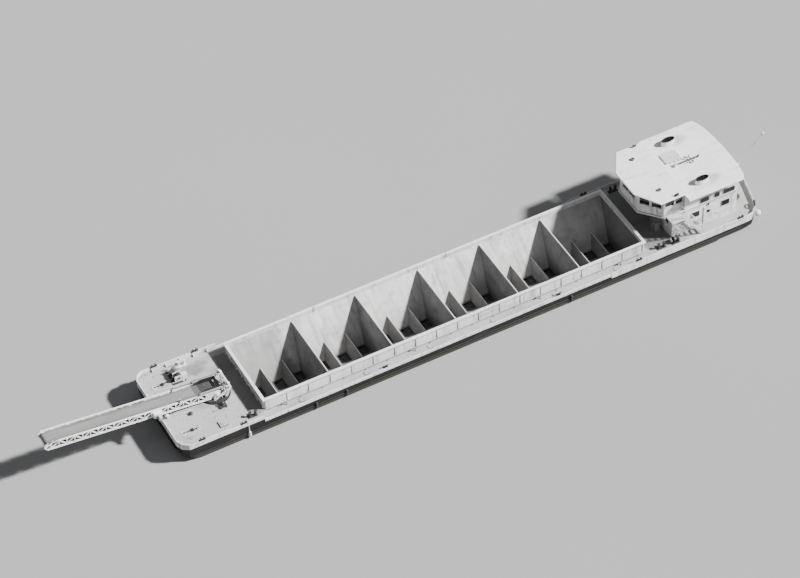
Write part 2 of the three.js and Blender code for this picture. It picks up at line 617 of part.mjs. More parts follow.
// Mooring winch on the port side deck: base, two standards, a drum with flanges, and its motor
const winch = { x: -18.2, y: 3.86, shaftZ: 0.38, shaft: 0.05, shaftAft: -0.36, shaftFore: 0.3 };
const winchBase = { aft: -0.42, fore: 0.34, half: 0.22, high: 0.06 };
const winchStandard = { places: [-0.3, 0.22], thick: 0.03, half: 0.14, top: 0.5 };
const winchDrum = { aft: -0.22, fore: 0.14, radius: 0.13, flange: 0.26, flangeThick: 0.04 };
const winchMotor = { aft: -0.41, fore: -0.28, z: 0.22, radius: 0.13, footHalf: 0.1 };
const winchRod = (aft, fore, z, radius, sides) => rod([aft, 0, z], [fore, 0, z], radius, sides);
addPart('mooring_winch', join(
  box([winchBase.aft, -winchBase.half, 0], [winchBase.fore, winchBase.half, winchBase.high]),
  ...winchStandard.places.map((x) => box(
    [x - winchStandard.thick, -winchStandard.half, winchBase.high / 2],
    [x + winchStandard.thick, winchStandard.half, winchStandard.top],
  )),
  winchRod(winch.shaftAft, winch.shaftFore, winch.shaftZ, winch.shaft, 12),
  winchRod(winchDrum.aft, winchDrum.fore, winch.shaftZ, winchDrum.radius, 20),
  ...[winchDrum.aft - 0.01, winchDrum.fore - 0.03].map((x) =>
    winchRod(x, x + winchDrum.flangeThick, winch.shaftZ, winchDrum.flange, 20)),
  winchRod(winchMotor.aft, winchMotor.fore, winchMotor.z, winchMotor.radius, 16),
  box(
    [winchMotor.aft + 0.01, -winchMotor.footHalf, winchBase.high / 2],
    [winchStandard.places[0], winchMotor.footHalf, winchMotor.z - 0.02],
  ),
).translate(winch.x * M, winch.y * M, (DECK_Z + GAP) * M), DARK);

// Deck locker ahead of the house, with a lid that laps over its sides
const locker = { x0: -17.85, x1: -17.35, y0: 1.3, y1: 2.1, high: 0.92, lap: 0.03, lid: 0.06 };
addPart('deck_locker', join(
  box([locker.x0, locker.y0, DECK_Z + GAP], [locker.x1, locker.y1, DECK_Z + locker.high]),
  box(
    [locker.x0 - locker.lap, locker.y0 - locker.lap, DECK_Z + locker.high - 0.01],
    [locker.x1 + locker.lap, locker.y1 + locker.lap, DECK_Z + locker.high + locker.lid],
  ),
), STEEL);

// Ball fender at the port quarter, hung by a hook over the bulwark's edge
const fender = { x: -25.9, y: 4.42, z: 1.34, radius: 0.28 };
const hook = { inX: 0.29, inY: -0.33, width: 0.06, thick: 0.04, stem: 0.04, stemFoot: 0.2 };
const hookLow = STERN_STRAKE.top + GAP;
const hookMid = hookLow + hook.thick / 2;
addPart('stern_fender', join(
  new THREE.SphereGeometry(fender.radius * M, 24, 16).rotateX(Math.PI / 2)
    .translate(fender.x * M, fender.y * M, fender.z * M),
  rod(
    [fender.x, fender.y, fender.z + hook.stemFoot],
    [fender.x, fender.y, hookLow + hook.thick + 0.01],
    hook.stem,
    12,
  ),
  bar(
    [fender.x, fender.y, hookMid],
    [fender.x + hook.inX, fender.y + hook.inY, hookMid],
    hook.width,
    hook.thick,
  ),
), WHITE);

// Trestle that the boom is lowered on to
const rest = { x: 26.45, legY: 0.85, leg: 0.08, beamHalf: 0.95, beam: 0.1, top: 1.98 };
addPart('boom_rest', join(
  ...[-rest.legY, rest.legY].map((y) => box(
    [rest.x - rest.leg, y - rest.leg, foredeckZ(rest.x + rest.leg) + GAP],
    [rest.x + rest.leg, y + rest.leg, rest.top],
  )),
  box(
    [rest.x - rest.beam, -rest.beamHalf, rest.top - rest.beam],
    [rest.x + rest.beam, rest.beamHalf, rest.top],
  ),
), WHITE);

// Stockless anchor in its pocket, with the plate it is hauled up against
const anchor = { x: 26.86, y: 2.9, z: 0.86, shank: 0.06, top: 1.38, crown: 0.09, crownHalf: 0.34 };
const fluke = { y: 0.3, half: 0.09, thick: 0.08, low: 0.1, tip: 0.5 };
addPart('anchor', join(
  box(
    [anchor.x - anchor.shank, anchor.y - anchor.shank, anchor.z],
    [anchor.x + anchor.shank, anchor.y + anchor.shank, anchor.top],
  ),
  box(
    [anchor.x - anchor.crown, anchor.y - anchor.crownHalf, anchor.z],
    [anchor.x + anchor.crown, anchor.y + anchor.crownHalf, anchor.z + 0.16],
  ),
  ...[-fluke.y, fluke.y].map((dy) => convex([
    ...[-fluke.half, fluke.half].flatMap((across) => [
      [anchor.x - fluke.thick, anchor.y + dy + across, anchor.z + fluke.low],
      [anchor.x + fluke.thick, anchor.y + dy + across, anchor.z + fluke.low],
    ]),
    [anchor.x + 0.02, anchor.y + dy, anchor.z + fluke.tip],
  ])),
), DARK);
addPart('anchor_seat', box(
  [anchorPocket.x + GAP, anchorPocket.y0 + GAP, anchorPocket.z0 + GAP],
  [anchor.x - anchor.crown - GAP, anchorPocket.y1 - GAP, anchorPocket.z1 - GAP],
), DARK);

// Boom turntable: a ring with cheeks for the boom's pivot and a frame for the luffing cylinders
const disc = { low: 1.561, high: 1.66, outer: 1.25, inner: 0.62 };
const cheek = { y0: 0.8, y1: 0.9 };
const pin = { trunnion: 0.08, bore: 0.086, rod: 0.04, eyeBore: 0.052, barrelBore: 0.046, eye: 0.095 };
const leg = { y: 1.02, fore: 0.5, aft: -0.55, head: -1.0, frontWidth: 0.1, backWidth: 0.12 };
const frameHeadX = SLEW_X + FRAME_HEAD.x;
const frameHeadZ = BOOM_PIVOT_Z + FRAME_HEAD.z;
const clevis = { inner: 0.6, outer: 0.84, half: 0.02, high: 0.08 };
addPart('boom_turntable', join(
  tube([SLEW_X, 0, disc.low], [SLEW_X, 0, disc.high], disc.inner, disc.outer, 32),
  ...sides.flatMap(([, side]) => {
    const y = [side * cheek.y0, side * cheek.y1].sort((a, b) => a - b);
    const z = BOOM_PIVOT_Z;
    const outline = [
      [SLEW_X - 0.45, disc.high - 0.03], [SLEW_X + 0.45, disc.high - 0.03], [SLEW_X + 0.18, z + 0.12],
      [SLEW_X + 0.1, z + 0.18], [SLEW_X - 0.1, z + 0.18], [SLEW_X - 0.18, z + 0.12],
    ];
    const legY = side * leg.y;
    const foot = disc.high - 0.04;
    const ear = [
      [SLEW_X - 1.05, frameHeadZ - clevis.high],
      [frameHeadX + 0.03, frameHeadZ - clevis.high],
      [frameHeadX + 0.08, frameHeadZ],
      [frameHeadX + 0.03, frameHeadZ + clevis.high],
      [SLEW_X - 1.05, frameHeadZ + clevis.high],
    ];
    return [
      cut(profile(outline, y[0], y[1]), rod([SLEW_X, y[0] - 1, z], [SLEW_X, y[1] + 1, z], pin.bore, 24)),
      bar([SLEW_X + leg.aft, legY, foot], [SLEW_X + leg.head, legY, frameHeadZ + 0.05], leg.backWidth),
      bar([SLEW_X + leg.fore, legY, foot], [SLEW_X + leg.head, legY, frameHeadZ], leg.frontWidth),
      ...[clevis.inner, clevis.outer].map((dy) =>
        profile(ear, side * dy - clevis.half, side * dy + clevis.half)),
      rod(
        [frameHeadX, side * clevis.inner, frameHeadZ],
        [frameHeadX, side * clevis.outer, frameHeadZ],
        pin.rod,
        16,
      ),
    ];
  }),
  box([SLEW_X - 1.12, -1.08, frameHeadZ - clevis.high], [SLEW_X - 1.0, 1.08, frameHeadZ + clevis.high]),
), WHITE);

// Boom: two lattice girders with ties and end drums, in the boom's own frame along +X,
// then turned to the rest angle about its pivot
const lattice = { start: 0.95, panel: 0.66, count: 20, chord: 0.1, post: 0.07 };
const girderOutline = [
  [-0.3, -0.16], [-0.15, -0.25], [0.5, -GIRDER_HALF],
  [BOOM_LENGTH, -GIRDER_HALF], [BOOM_LENGTH + 0.25, -0.15], [BOOM_LENGTH + 0.25, 0.15],
  [BOOM_LENGTH, GIRDER_HALF], [0.35, GIRDER_HALF], [-0.15, 0.32], [-0.3, 0.2],
];
function latticeHoles() {
  const inner = GIRDER_HALF - lattice.chord;
  return Array.from({ length: lattice.count }, (_, i) => {
    const x0 = lattice.start + i * lattice.panel + lattice.post / 2;
    const x1 = x0 + lattice.panel - lattice.post;
    const lean = lattice.post * 0.9;
    const rising = i % 2 === 0;
    const upper = rising
      ? [[x0, -inner + lean], [x1 - lean, inner], [x0, inner]]
      : [[x1, -inner + lean], [x1, inner], [x0 + lean, inner]];
    const lower = rising
      ? [[x0 + lean, -inner], [x1, -inner], [x1, inner - lean]]
      : [[x0, -inner], [x1 - lean, -inner], [x0, inner - lean]];
    return [upper, lower];
  }).flat();
}
const drumY = GIRDER_Y - GIRDER_PLATE + 0.01;
const headX = BOOM_LENGTH - 0.15;
const lug = { half: 0.12, head: 0.07, foot: GIRDER_HALF - 0.06, plateTop: GIRDER_HALF - 0.03 };
const lugOutline = [
  [BOOM_LUG.x - lug.half, lug.foot], [BOOM_LUG.x + lug.half, lug.foot],
  [BOOM_LUG.x + lug.head, BOOM_LUG.z + lug.head], [BOOM_LUG.x - lug.head, BOOM_LUG.z + lug.head],
];
// Belt drive on the port girder: a bracket, a gear case and a motor that stands out sideways
const drive = { x0: 4.95, x1: 5.6, half: 0.2, inY: GIRDER_Y - 0.02, caseY: 1.15 };
const driveBracket = { margin: 0.15, thick: 0.06, top: GIRDER_HALF - 0.05 };
const driveMotor = { x: 5.25, radius: 0.17, endY: 1.6, boxHalf: 0.1, boxTop: 0.24 };
const driveUnit = [
  box(
    [drive.x0 - driveBracket.margin, drive.inY, -drive.half],
    [drive.x1 + driveBracket.margin, drive.inY + driveBracket.thick, driveBracket.top],
  ),
  box([drive.x0, drive.inY + driveBracket.thick / 2, -drive.half], [drive.x1, drive.caseY, drive.half]),
  rod([driveMotor.x, drive.caseY - 0.03, 0], [driveMotor.x, driveMotor.endY, 0], driveMotor.radius, 20),
  box(
    [driveMotor.x - driveMotor.boxHalf, drive.caseY + 0.1, driveMotor.radius / 2],
    [driveMotor.x + driveMotor.boxHalf, driveMotor.endY - 0.08, driveMotor.boxTop],
  ),
];
const boomFrame = join(
  ...sides.flatMap(([, side]) => {
    const y = [side * (GIRDER_Y - GIRDER_PLATE), side * GIRDER_Y].sort((a, b) => a - b);
    const lugEnds = [clevis.inner - clevis.half, clevis.outer + clevis.half];
    const lugY = lugEnds.map((dy) => side * dy).sort((a, b) => a - b);
    const holes = latticeHoles().map((hole) => profile(hole, y[0] - 1, y[1] + 1));
    return [
      cut(profile(girderOutline, y[0], y[1]), ...holes),
      rod([0, side * (GIRDER_Y - 0.02), 0], [0, side * (cheek.y1 + 0.03), 0], pin.trunnion, 24),
      ...[clevis.inner, clevis.outer].map((dy) =>
        profile(lugOutline, side * dy - clevis.half, side * dy + clevis.half)),
      box([BOOM_LUG.x - lug.half, lugY[0], lug.foot], [BOOM_LUG.x + lug.half, lugY[1], lug.plateTop]),
      rod(
        [BOOM_LUG.x, side * clevis.inner, BOOM_LUG.z],
        [BOOM_LUG.x, side * clevis.outer, BOOM_LUG.z],
        pin.rod,
        16,
      ),
    ];
  }),
  rod([0, -drumY, 0], [0, drumY, 0], DRUM_R, 24),
  rod([headX, -drumY, 0], [headX, drumY, 0], DRUM_R, 24),
  ...driveUnit,
  ...Array.from({ length: lattice.count / 2 + 1 }, (_, i) => {
    const x = lattice.start + 2 * i * lattice.panel;
    return [
      box([x - 0.03, -drumY, -GIRDER_HALF], [x + 0.03, drumY, -GIRDER_HALF + 0.06]),
      box([x - 0.04, -drumY, 0.1], [x + 0.04, drumY, 0.18]),
    ];
  }).flat(),
);
const boomTurn = -THREE.MathUtils.degToRad(BOOM_REST_DEG);
const boomGroup = new THREE.Group();
boomGroup.position.set(SLEW_X * M, 0, BOOM_PIVOT_Z * M);
boomGroup.rotation.y = boomTurn;
barge.add(boomGroup);
addPart('boom_frame', boomFrame, WHITE, boomGroup);

const belt = { inner: DRUM_R + 0.004, outer: DRUM_R + 0.026, half: 0.6 };
function racetrack(radius, count = 10) {
  const arc = (cx, start) => Array.from({ length: count + 1 }, (_, i) => {
    const angle = start + i / count * Math.PI;
    return [cx + radius * Math.cos(angle), radius * Math.sin(angle)];
  });
  return [...arc(headX, -Math.PI / 2), ...arc(0, Math.PI / 2)];
}
const boomBelt = profile(racetrack(belt.outer), -belt.half, belt.half, racetrack(belt.inner));
addPart('boom_belt', boomBelt, BELT, boomGroup);

// Luffing cylinders between the turntable's frame and the boom
const cosRest = Math.cos(-boomTurn);
const sinRest = Math.sin(-boomTurn);
const lugX = BOOM_LUG.x * cosRest - BOOM_LUG.z * sinRest;
const lugZ = BOOM_LUG.x * sinRest + BOOM_LUG.z * cosRest;
const reach = Math.hypot(lugX - FRAME_HEAD.x, lugZ - FRAME_HEAD.z);
const cylinderTurn = -Math.atan2(lugZ - FRAME_HEAD.z, lugX - FRAME_HEAD.x);
const barrel = { length: 2.35, outer: 0.1, bore: 0.056, eyeHalf: 0.08 };
const ram = { radius: 0.05, start: 1.9 };
sides.forEach(([label, side]) => {
  const group = new THREE.Group();
  group.position.set((SLEW_X + FRAME_HEAD.x) * M, side * CYLINDER_Y * M, frameHeadZ * M);
  group.rotation.y = cylinderTurn;
  barge.add(group);
  addPart(`luff_barrel_${label}`, cut(
    join(
      rod([0, -barrel.eyeHalf, 0], [0, barrel.eyeHalf, 0], pin.eye, 20),
      rod([0.05, 0, 0], [barrel.length, 0, 0], barrel.outer, 20),
    ),
    rod([0, -1, 0], [0, 1, 0], pin.barrelBore, 20),
    rod([0.3, 0, 0], [barrel.length + 1, 0, 0], barrel.bore, 20),
  ), STEEL, group);
  addPart(`luff_rod_${label}`, cut(
    join(
      rod([reach, -barrel.eyeHalf, 0], [reach, barrel.eyeHalf, 0], pin.eye, 20),
      rod([ram.start, 0, 0], [reach - 0.05, 0, 0], ram.radius, 16),
    ),
    rod([reach, -1, 0], [reach, 1, 0], pin.eyeBore, 20),
  ), STEEL, group);
});

// Propellers and rudders
const hub = { radius: 0.12, fore: 0.14, aft: -0.2 };
const BLADES = 4;
sides.forEach(([label, side]) => {
  const blade = profile(oval(0, PROP_R * 0.55, 0.17, PROP_R * 0.45, 14), -0.015, 0.015)
    .rotateZ(side * 0.9);
  const blades = Array.from({ length: BLADES }, (_, i) => blade.clone().rotateX(i / BLADES * 2 * Math.PI));
  const geometry = join(
    rod([hub.fore, 0, 0], [hub.aft, 0, 0], hub.radius, 16, hub.radius * 0.5),
    ...blades,
  );
  addPart(`propeller_${label}`, geometry.translate(PROP_X * M, side * PROP_Y * M, PROP_Z * M), BRONZE);

  const foil = [
    [0.2, 0], [0.14, 0.055], [0.0, 0.07], [-0.35, 0.045], [-0.7, 0.01],
    [-0.7, -0.01], [-0.35, -0.045], [0.0, -0.07], [0.14, -0.055],
  ];
  addPart(`rudder_${label}`, join(
    slab(foil, -1.18, -0.2),
    rod([0, 0, -0.3], [0, 0, 0.15], 0.055, 16),
  ).translate(RUDDER_X * M, side * PROP_Y * M, 0), BLACK);
});

// Side doors of the lower storey, hung on the outside of the wall
sides.forEach(([label, side]) => {
  const face = HOUSE_HALF + door.clear;
  const y = [side * face, side * (face + door.thick)].sort((a, b) => a - b);
  addPart(`house_door_${label}`, box(
    [door.x0 - door.lap, y[0], door.z0 - door.lap],
    [door.x1 + door.lap, y[1], door.z1 + door.lap],
  ), WHITE);
});

// Folding mast, lowered over its crutch, with its yard and lamp
const yardX = mast.x + mast.yard.x;
const lampX = mast.x + mast.lamp.x;
addPart('mast', join(
  rod([mast.x + 0.1, 0, mast.z], [mast.x - mast.length, 0, mast.z], mast.radius, 12),
  rod([yardX, -mast.yard.half, mast.z], [yardX, mast.yard.half, mast.z], mast.yard.radius, 10),
  rod([lampX, 0, mast.z + mast.lamp.low], [lampX, 0, mast.z + mast.lamp.top], mast.lamp.radius, 12),
), DARK);

export default barge;
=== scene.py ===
import math

import bmesh
import bpy
from mathutils import Matrix, Vector


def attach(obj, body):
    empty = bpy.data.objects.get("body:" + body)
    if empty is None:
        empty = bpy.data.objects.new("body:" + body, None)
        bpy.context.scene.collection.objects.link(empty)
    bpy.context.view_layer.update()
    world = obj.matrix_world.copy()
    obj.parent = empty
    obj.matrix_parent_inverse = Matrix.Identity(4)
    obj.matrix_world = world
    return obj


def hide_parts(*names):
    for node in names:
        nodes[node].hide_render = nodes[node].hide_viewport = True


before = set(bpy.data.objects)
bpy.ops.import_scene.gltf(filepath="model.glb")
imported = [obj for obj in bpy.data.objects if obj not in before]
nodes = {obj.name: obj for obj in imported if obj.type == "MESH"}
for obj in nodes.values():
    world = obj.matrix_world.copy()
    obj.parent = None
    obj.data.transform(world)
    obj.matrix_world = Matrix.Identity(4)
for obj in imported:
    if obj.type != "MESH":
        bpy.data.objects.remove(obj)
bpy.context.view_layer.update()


# Camera. The aerial photograph's viewpoint, high off the port bow, held at the same place
# in the model's frame, with a longer lens so that the barge fills the frame.
def new_object(name, data):
    made = bpy.data.objects.new(name, data)
    bpy.context.scene.collection.objects.link(made)
    return made


EYE = Vector((40.56, 76.44, 90.13))
AHEAD = Vector((-0.339, -0.584, -0.737)).normalized()
RIGHT = Vector((-0.865, 0.502, 0.0)).normalized()
AIM = (-0.0456, 0.0278)  # the barge's middle, right of and above the photograph's axis, per metre ahead
above = RIGHT.cross(AHEAD).normalized()
toward = (AHEAD + RIGHT * AIM[0] + above * AIM[1]).normalized()
across = (RIGHT - toward * RIGHT.dot(toward)).normalized()
turn = Matrix((across, across.cross(toward), -toward)).transposed()
lens_data = bpy.data.cameras.new("aerial_camera")
lens_data.lens = 138.0
lens_data.clip_end = 1000.0
camera = new_object("aerial_camera", lens_data)
camera.matrix_world = Matrix.Translation(EYE) @ turn.to_4x4()
bpy.context.scene.camera = camera


# Shader values. A socket that can be added, scaled and compared in plain arithmetic, and a
# finish, which is one Principled material with the nodes that feed it.
class Value:
    def __init__(self, finish, socket):
        self.finish = finish
        self.socket = socket

    def math(self, operation, *values):
        return self.finish.node("Math", {"operation": operation}, dict(enumerate(values)))

    def __add__(self, other):
        return self.math("ADD", self, other)

    def __radd__(self, other):
        return self.math("ADD", other, self)

    def __sub__(self, other):
        return self.math("SUBTRACT", self, other)

    def __rsub__(self, other):
        return self.math("SUBTRACT", other, self)

    def __mul__(self, other):
        return self.math("MULTIPLY", self, other)

    def __rmul__(self, other):
        return self.math("MULTIPLY", other, self)

    def __abs__(self):
        return self.math("ABSOLUTE", self)

    def __gt__(self, other):
        return self.math("GREATER_THAN", self, other)

    def __lt__(self, other):
        return self.math("LESS_THAN", self, other)

    def __mod__(self, other):
        return self.math("FLOORED_MODULO", self, other)

    def rise(self, low, high):
        steps = {"interpolation_type": "SMOOTHSTEP"}
        return self.finish.node("MapRange", steps, {0: self, 1: low, 2: high, 3: 0.0, 4: 1.0})


class Finish:
    def __init__(self, name, **constants):
        self.material = bpy.data.materials.new(name)
        self.material.use_nodes = True
        self.tree = self.material.node_tree
        self.shader = self.tree.nodes["Principled BSDF"]
        self.spot = self.node("TexCoord", output="Object")
        for socket, value in constants.items():
            self.shader.inputs[socket.replace("_", " ")].default_value = value

    def feed(self, socket, value):
        if isinstance(value, Value):
            self.tree.links.new(value.socket, socket)
        else:
            socket.default_value = value

    def node(self, kind, settings=None, inputs=None, output=0):
        made = self.tree.nodes.new("ShaderNode" + kind)
        for key, value in (settings or {}).items():
            setattr(made, key, value)
        for key, value in (inputs or {}).items():
            self.feed(made.inputs[key], value)
        return Value(self, made.outputs[output])

    def parts(self, vector, axes):
        outputs = self.node("SeparateXYZ", inputs={0: vector}).socket.node.outputs
        return [Value(self, outputs[axis]) for axis in axes]

    def place(self, axes="XYZ"):
        return self.parts(self.spot, axes)

    def facing_up(self):
        return self.parts(self.node("NewGeometry", output="Normal"), "Z")[0]

    def noise(self, scale, stretch=(1.0, 1.0, 1.0), detail=4.0, roughness=0.55):
        at = self.node("Mapping", inputs={"Vector": self.spot, "Scale": stretch})
        inputs = {"Vector": at, "Scale": scale, "Detail": detail, "Roughness": roughness}
        return self.node("TexNoise", inputs=inputs)

    def marks(self, scale, low, high, stretch=(1.0, 1.0, 1.0), detail=6.0):
        """Patches of dirt, rust or wear, where the noise is higher than most of it."""
        return self.noise(scale, stretch, detail).rise(low, high)

    def blend(self, share, below, over):
        colours = {"data_type": "RGBA"}
        return self.node("Mix", colours, {0: share, 6: below, 7: over}, output=2)

    def coats(self, colour, *layers):
        """Coats laid one after another over a colour, each given as its share and its colour."""
        for share, over in layers:
            colour = self.blend(share, colour, over)
        return colour

    def wear(self, colour, roughness, height, distance=0.004, strength=0.6):
        self.feed(self.shader.inputs["Base Color"], colour)
        self.feed(self.shader.inputs["Roughness"], roughness)
        inputs = {"Strength": strength, "Distance": distance, "Height": height}
        self.feed(self.shader.inputs["Normal"], self.node("Bump", inputs=inputs))
        return self


def grey(level, warm=0.0):
    return (level * (1 + warm), level, level * (1 - warm), 1.0)


# Stage. A plain pale floor at the waterline, left open inside the hull where the hold and the
# engine room go below it, a soft sun from the port quarter, where the photograph's light comes
# from, and an even pale sky.
FLOOR_REACH = 260.0
FLOOR_X = (-FLOOR_REACH, -10.6, -9.4, -7.6, 9.5, FLOOR_REACH)
FLOOR_Y = (-FLOOR_REACH, -1.2, 1.2, FLOOR_REACH)
OPEN_STRIPS = (1, 3)
rows = len(FLOOR_Y)
starts = [
    i * rows + j
    for i in range(len(FLOOR_X) - 1) for j in range(rows - 1) if not (i in OPEN_STRIPS and j == 1)
]
tiles = [(k, k + rows, k + rows + 1, k + 1) for k in starts]
floor_mesh = bpy.data.meshes.new("floor")
floor_mesh.from_pydata([(x, y, 0.0) for x in FLOOR_X for y in FLOOR_Y], [], tiles)
floor = new_object("floor", floor_mesh)
floor_paint = Finish("floor_paint", Roughness=0.85)
floor_tone = floor_paint.blend(floor_paint.noise(0.05, detail=2.0), grey(0.27), grey(0.295))
floor_paint.feed(floor_paint.shader.inputs["Base Color"], floor_tone)
floor_mesh.materials.append(floor_paint.material)

SUN_FROM = Vector((-0.71, 0.36, 0.62))
sun_data = bpy.data.lights.new("sun", "SUN")
sun_data.energy = 13.0
sun_data.angle = math.radians(4.0)
sun = new_object("sun", sun_data)
sun.rotation_euler = SUN_FROM.to_track_quat("Z", "Y").to_euler()
world = bpy.data.worlds.new("studio")
world.use_nodes = True
sky = world.node_tree.nodes["Background"].inputs
sky["Color"].default_value = (0.92, 0.95, 1.0, 1.0)
sky["Strength"].default_value = 0.3
bpy.context.scene.world = world

# Hull plating. Welded steel plate: black topsides above a dark bottom paint, with a weed line,
# plate seams, rubbed patches and rust runs, and light grey non-slip paint on the decks.
SCALE = 0.5  # the model's size against the real ship's, in whose metres the sizes are
BAYS = 6
BAY = 5.76
HOLD_AFT = -15.33
HOLD_FORE = HOLD_AFT + BAYS * BAY
SLEW_X = 22.1


def dress(finish, *names):
    for name in names:
        slots = nodes[name].data.materials
        slots.clear()
        slots.append(finish.material)


def seams(value, pitch, width):
    distance = abs(value % pitch - pitch / 2)
    return distance.rise(pitch / 2 - width, pitch / 2)


def sloped(up, y):
    return (up > 0.3) * (up < 0.95) * (abs(y) < 1.7)


def scouring(paint):
    return paint.noise(3.0, (1.0, 0.3, 0.3), detail=8.0, roughness=0.65)


def scoured_steel(paint, scour, low, high):
    """Cargo-worn steel: streaked down the slopes, dusty, darker low down and fore, painted shadow aft."""
    x, z = paint.place("XZ")
    patches = paint.noise(0.8, detail=5.0)
    streaks = paint.marks(5.5, 0.5, 0.74, (1.0, 0.12, 0.12))
    dust = paint.marks(1.7, 0.45, 0.7)
    rust = paint.marks(4.0, 0.64, 0.76, (1.0, 0.5, 0.5))
    return paint.coats(
        paint.blend(patches, grey(low * 0.72, 0.012), grey(high * 1.1, 0.012)),
        (scour.rise(0.45, 0.75) * 0.5, grey(high * 1.3)),
        (streaks * 0.65, grey(low * 0.36, 0.05)),
        (dust * 0.5, grey(low * 0.45, 0.06)),
        # darker towards the bottom of the slopes
        ((1 - z.rise(-0.35, 0.5)) * 0.45, grey(low * 0.45, 0.06)),
        # painted shadow: the house's shadow over the aftmost bay
        ((1 - x.rise(-5.2, -4.4)) * 0.5, grey(low * 0.5, 0.02)),
        # darker over the foremost bay
        ((x + dust * 0.2).rise(7.2, 7.7) * 0.65, grey(low * 0.34, 0.02)),
        (rust * 0.5, (0.15, 0.08, 0.045, 1.0)),
    )


def topsides(paint, patches, z):
    """Black paint, scuffed and rust-run, over a weed line and the bottom paint."""
    runs = paint.marks(2.6, 0.56, 0.78, (1.0, 1.0, 0.12))
    scuffs = paint.marks(1.4, 0.6, 0.72, (0.35, 1.0, 3.0))
    weed = (0.14 + patches * 0.1 - z).rise(0.0, 0.06)
    return paint.coats(
        paint.blend(patches, grey(0.006), grey(0.016)),
        (scuffs * 0.35, grey(0.09)),
        (runs * (z > 0.02) * 0.4, (0.07, 0.035, 0.022, 1.0)),
        (weed, (0.035, 0.04, 0.028, 1.0)),
        (z < 0.02, (0.06, 0.028, 0.022, 1.0)),
    )


def deck_plating(paint, patches, x, y):
    """Grey deck paint, stained and speckled; painted shade before and behind the hold and at the ring."""
    stains = paint.marks(1.1, 0.48, 0.7, (0.4, 1.0, 1.0), detail=8.0)
    specks = paint.marks(9.0, 0.63, 0.71, detail=2.0)
    foredeck_worn = (x > 9.75) * 0.35
    edge = x + patches * 0.25
    # painted shadow: darker deck forward of the coaming and under the house's overhang aft of the hold
    painted_shadow = (1 - edge.rise(10.3, 10.6)) * (x > 9.6) + (1 - x.rise(-8.0, -7.8)) * edge.rise(-9.2, -8.9)
    shadow_band_breadth = 1 - abs(y).rise(1.72, 1.9)
    from_ring = x - SLEW_X * SCALE
    return paint.coats(
        paint.blend(patches, grey(0.3, 0.012), grey(0.42, 0.012)),
        (stains * (0.4 + foredeck_worn), grey(0.11, 0.04)),
        (specks * (0.5 + foredeck_worn), (0.085, 0.06, 0.045, 1.0)),
        (painted_shadow * shadow_band_breadth * 0.6, grey(0.07, 0.02)),
        (seams(x, BAY * SCALE, 0.02) * 0.4, grey(0.15, 0.03)),
        # painted shade: a black disc on the deck round the slewing ring, for the dark well under the
        # boom's foot
        (from_ring * from_ring + y * y < 0.46, grey(0.05)),
    )


def hull_finish():
    paint = Finish("hull_plating", Specular_IOR_Level=0.25)
    x, y, z = paint.place()
    up = paint.facing_up()
    patches = paint.noise(0.9)
    grain = paint.noise(14.0)
    deck = (up > 0.5) * (z > 0.6)
    hold_middle = (HOLD_FORE + HOLD_AFT) / 2 * SCALE
    hold_half = (HOLD_FORE - HOLD_AFT) / 2 * SCALE
    slope = sloped(up, y) * (abs(x - hold_middle) < hold_half + 0.01)
    colour = paint.coats(
        topsides(paint, patches, z),
        (deck, deck_plating(paint, patches, x, y)),
        (slope, scoured_steel(paint, scouring(paint), 0.44, 0.58)),
    )
    plates = (seams(x, BAY * SCALE, 0.012) + seams(z, 0.62, 0.01)) * (1 - deck)
    height = plates * 0.4 + patches * 0.6 + grain * 0.12 + deck * grain * 0.5
    return paint.wear(colour, 0.42 + patches * 0.2 + deck * 0.2, height, 0.006)


hull_paint = hull_finish()
dress(hull_paint, "hull_bow", "side_tank_port", "side_tank_stbd", "hull_aft", "hull_counter")
dress(hull_paint, "tunnel_floor", "rudder_port", "rudder_stbd")

# Steelwork. Plates, bars, pipes and turned pieces are gathered here into one mesh, in metres
# of the real ship, and brought down to the model's scale when the mesh is made.
SHIP = Matrix.Identity(4)
FORE = Vector((1, 0, 0))
PORT = Vector((0, 1, 0))
UP = Vector((0, 0, 1))
SIDES = (-1, 1)
BLOCK_FACES = [(0, 1, 3, 2), (4, 6, 7, 5), (0, 4, 5, 1), (2, 3, 7, 6), (0, 2, 6, 4), (1, 5, 7, 3)]


def around(count, radius=1.0, first=0.0):
    """Pairs evenly spaced round a circle."""
    angles = [first + 2 * math.pi * k / count for k in range(count)]
    return [(radius * math.cos(a), radius * math.sin(a)) for a in angles]


def square_to(along):
    """A direction at right angles to a line, level unless the line stands upright."""
    return along.cross(UP if abs(along.z) < 0.9 else FORE).normalized()


def ring_plane(axis):
    """The directions across and up in the plane of a ring about an axis."""
    along = Vector(axis).normalized()
    guide = UP if abs(along.z) < 0.9999 else FORE
    tall = (guide - along * guide.dot(along)).normalized()
    return along.cross(tall), tall


def bands(rings, sides, closed=False):
    """The faces between rings of points, with a lid on each end unless they close on themselves."""
    faces = []
    for i in range(rings if closed else rings - 1):
        for k in range(sides):
            a, b = i * sides, (i + 1) % rings * sides
            faces.append((a + k, a + (k + 1) % sides, b + (k + 1) % sides, b + k))
    if not closed:
        faces += [tuple(range(sides))[::-1], tuple(range((rings - 1) * sides, rings * sides))]
    return faces


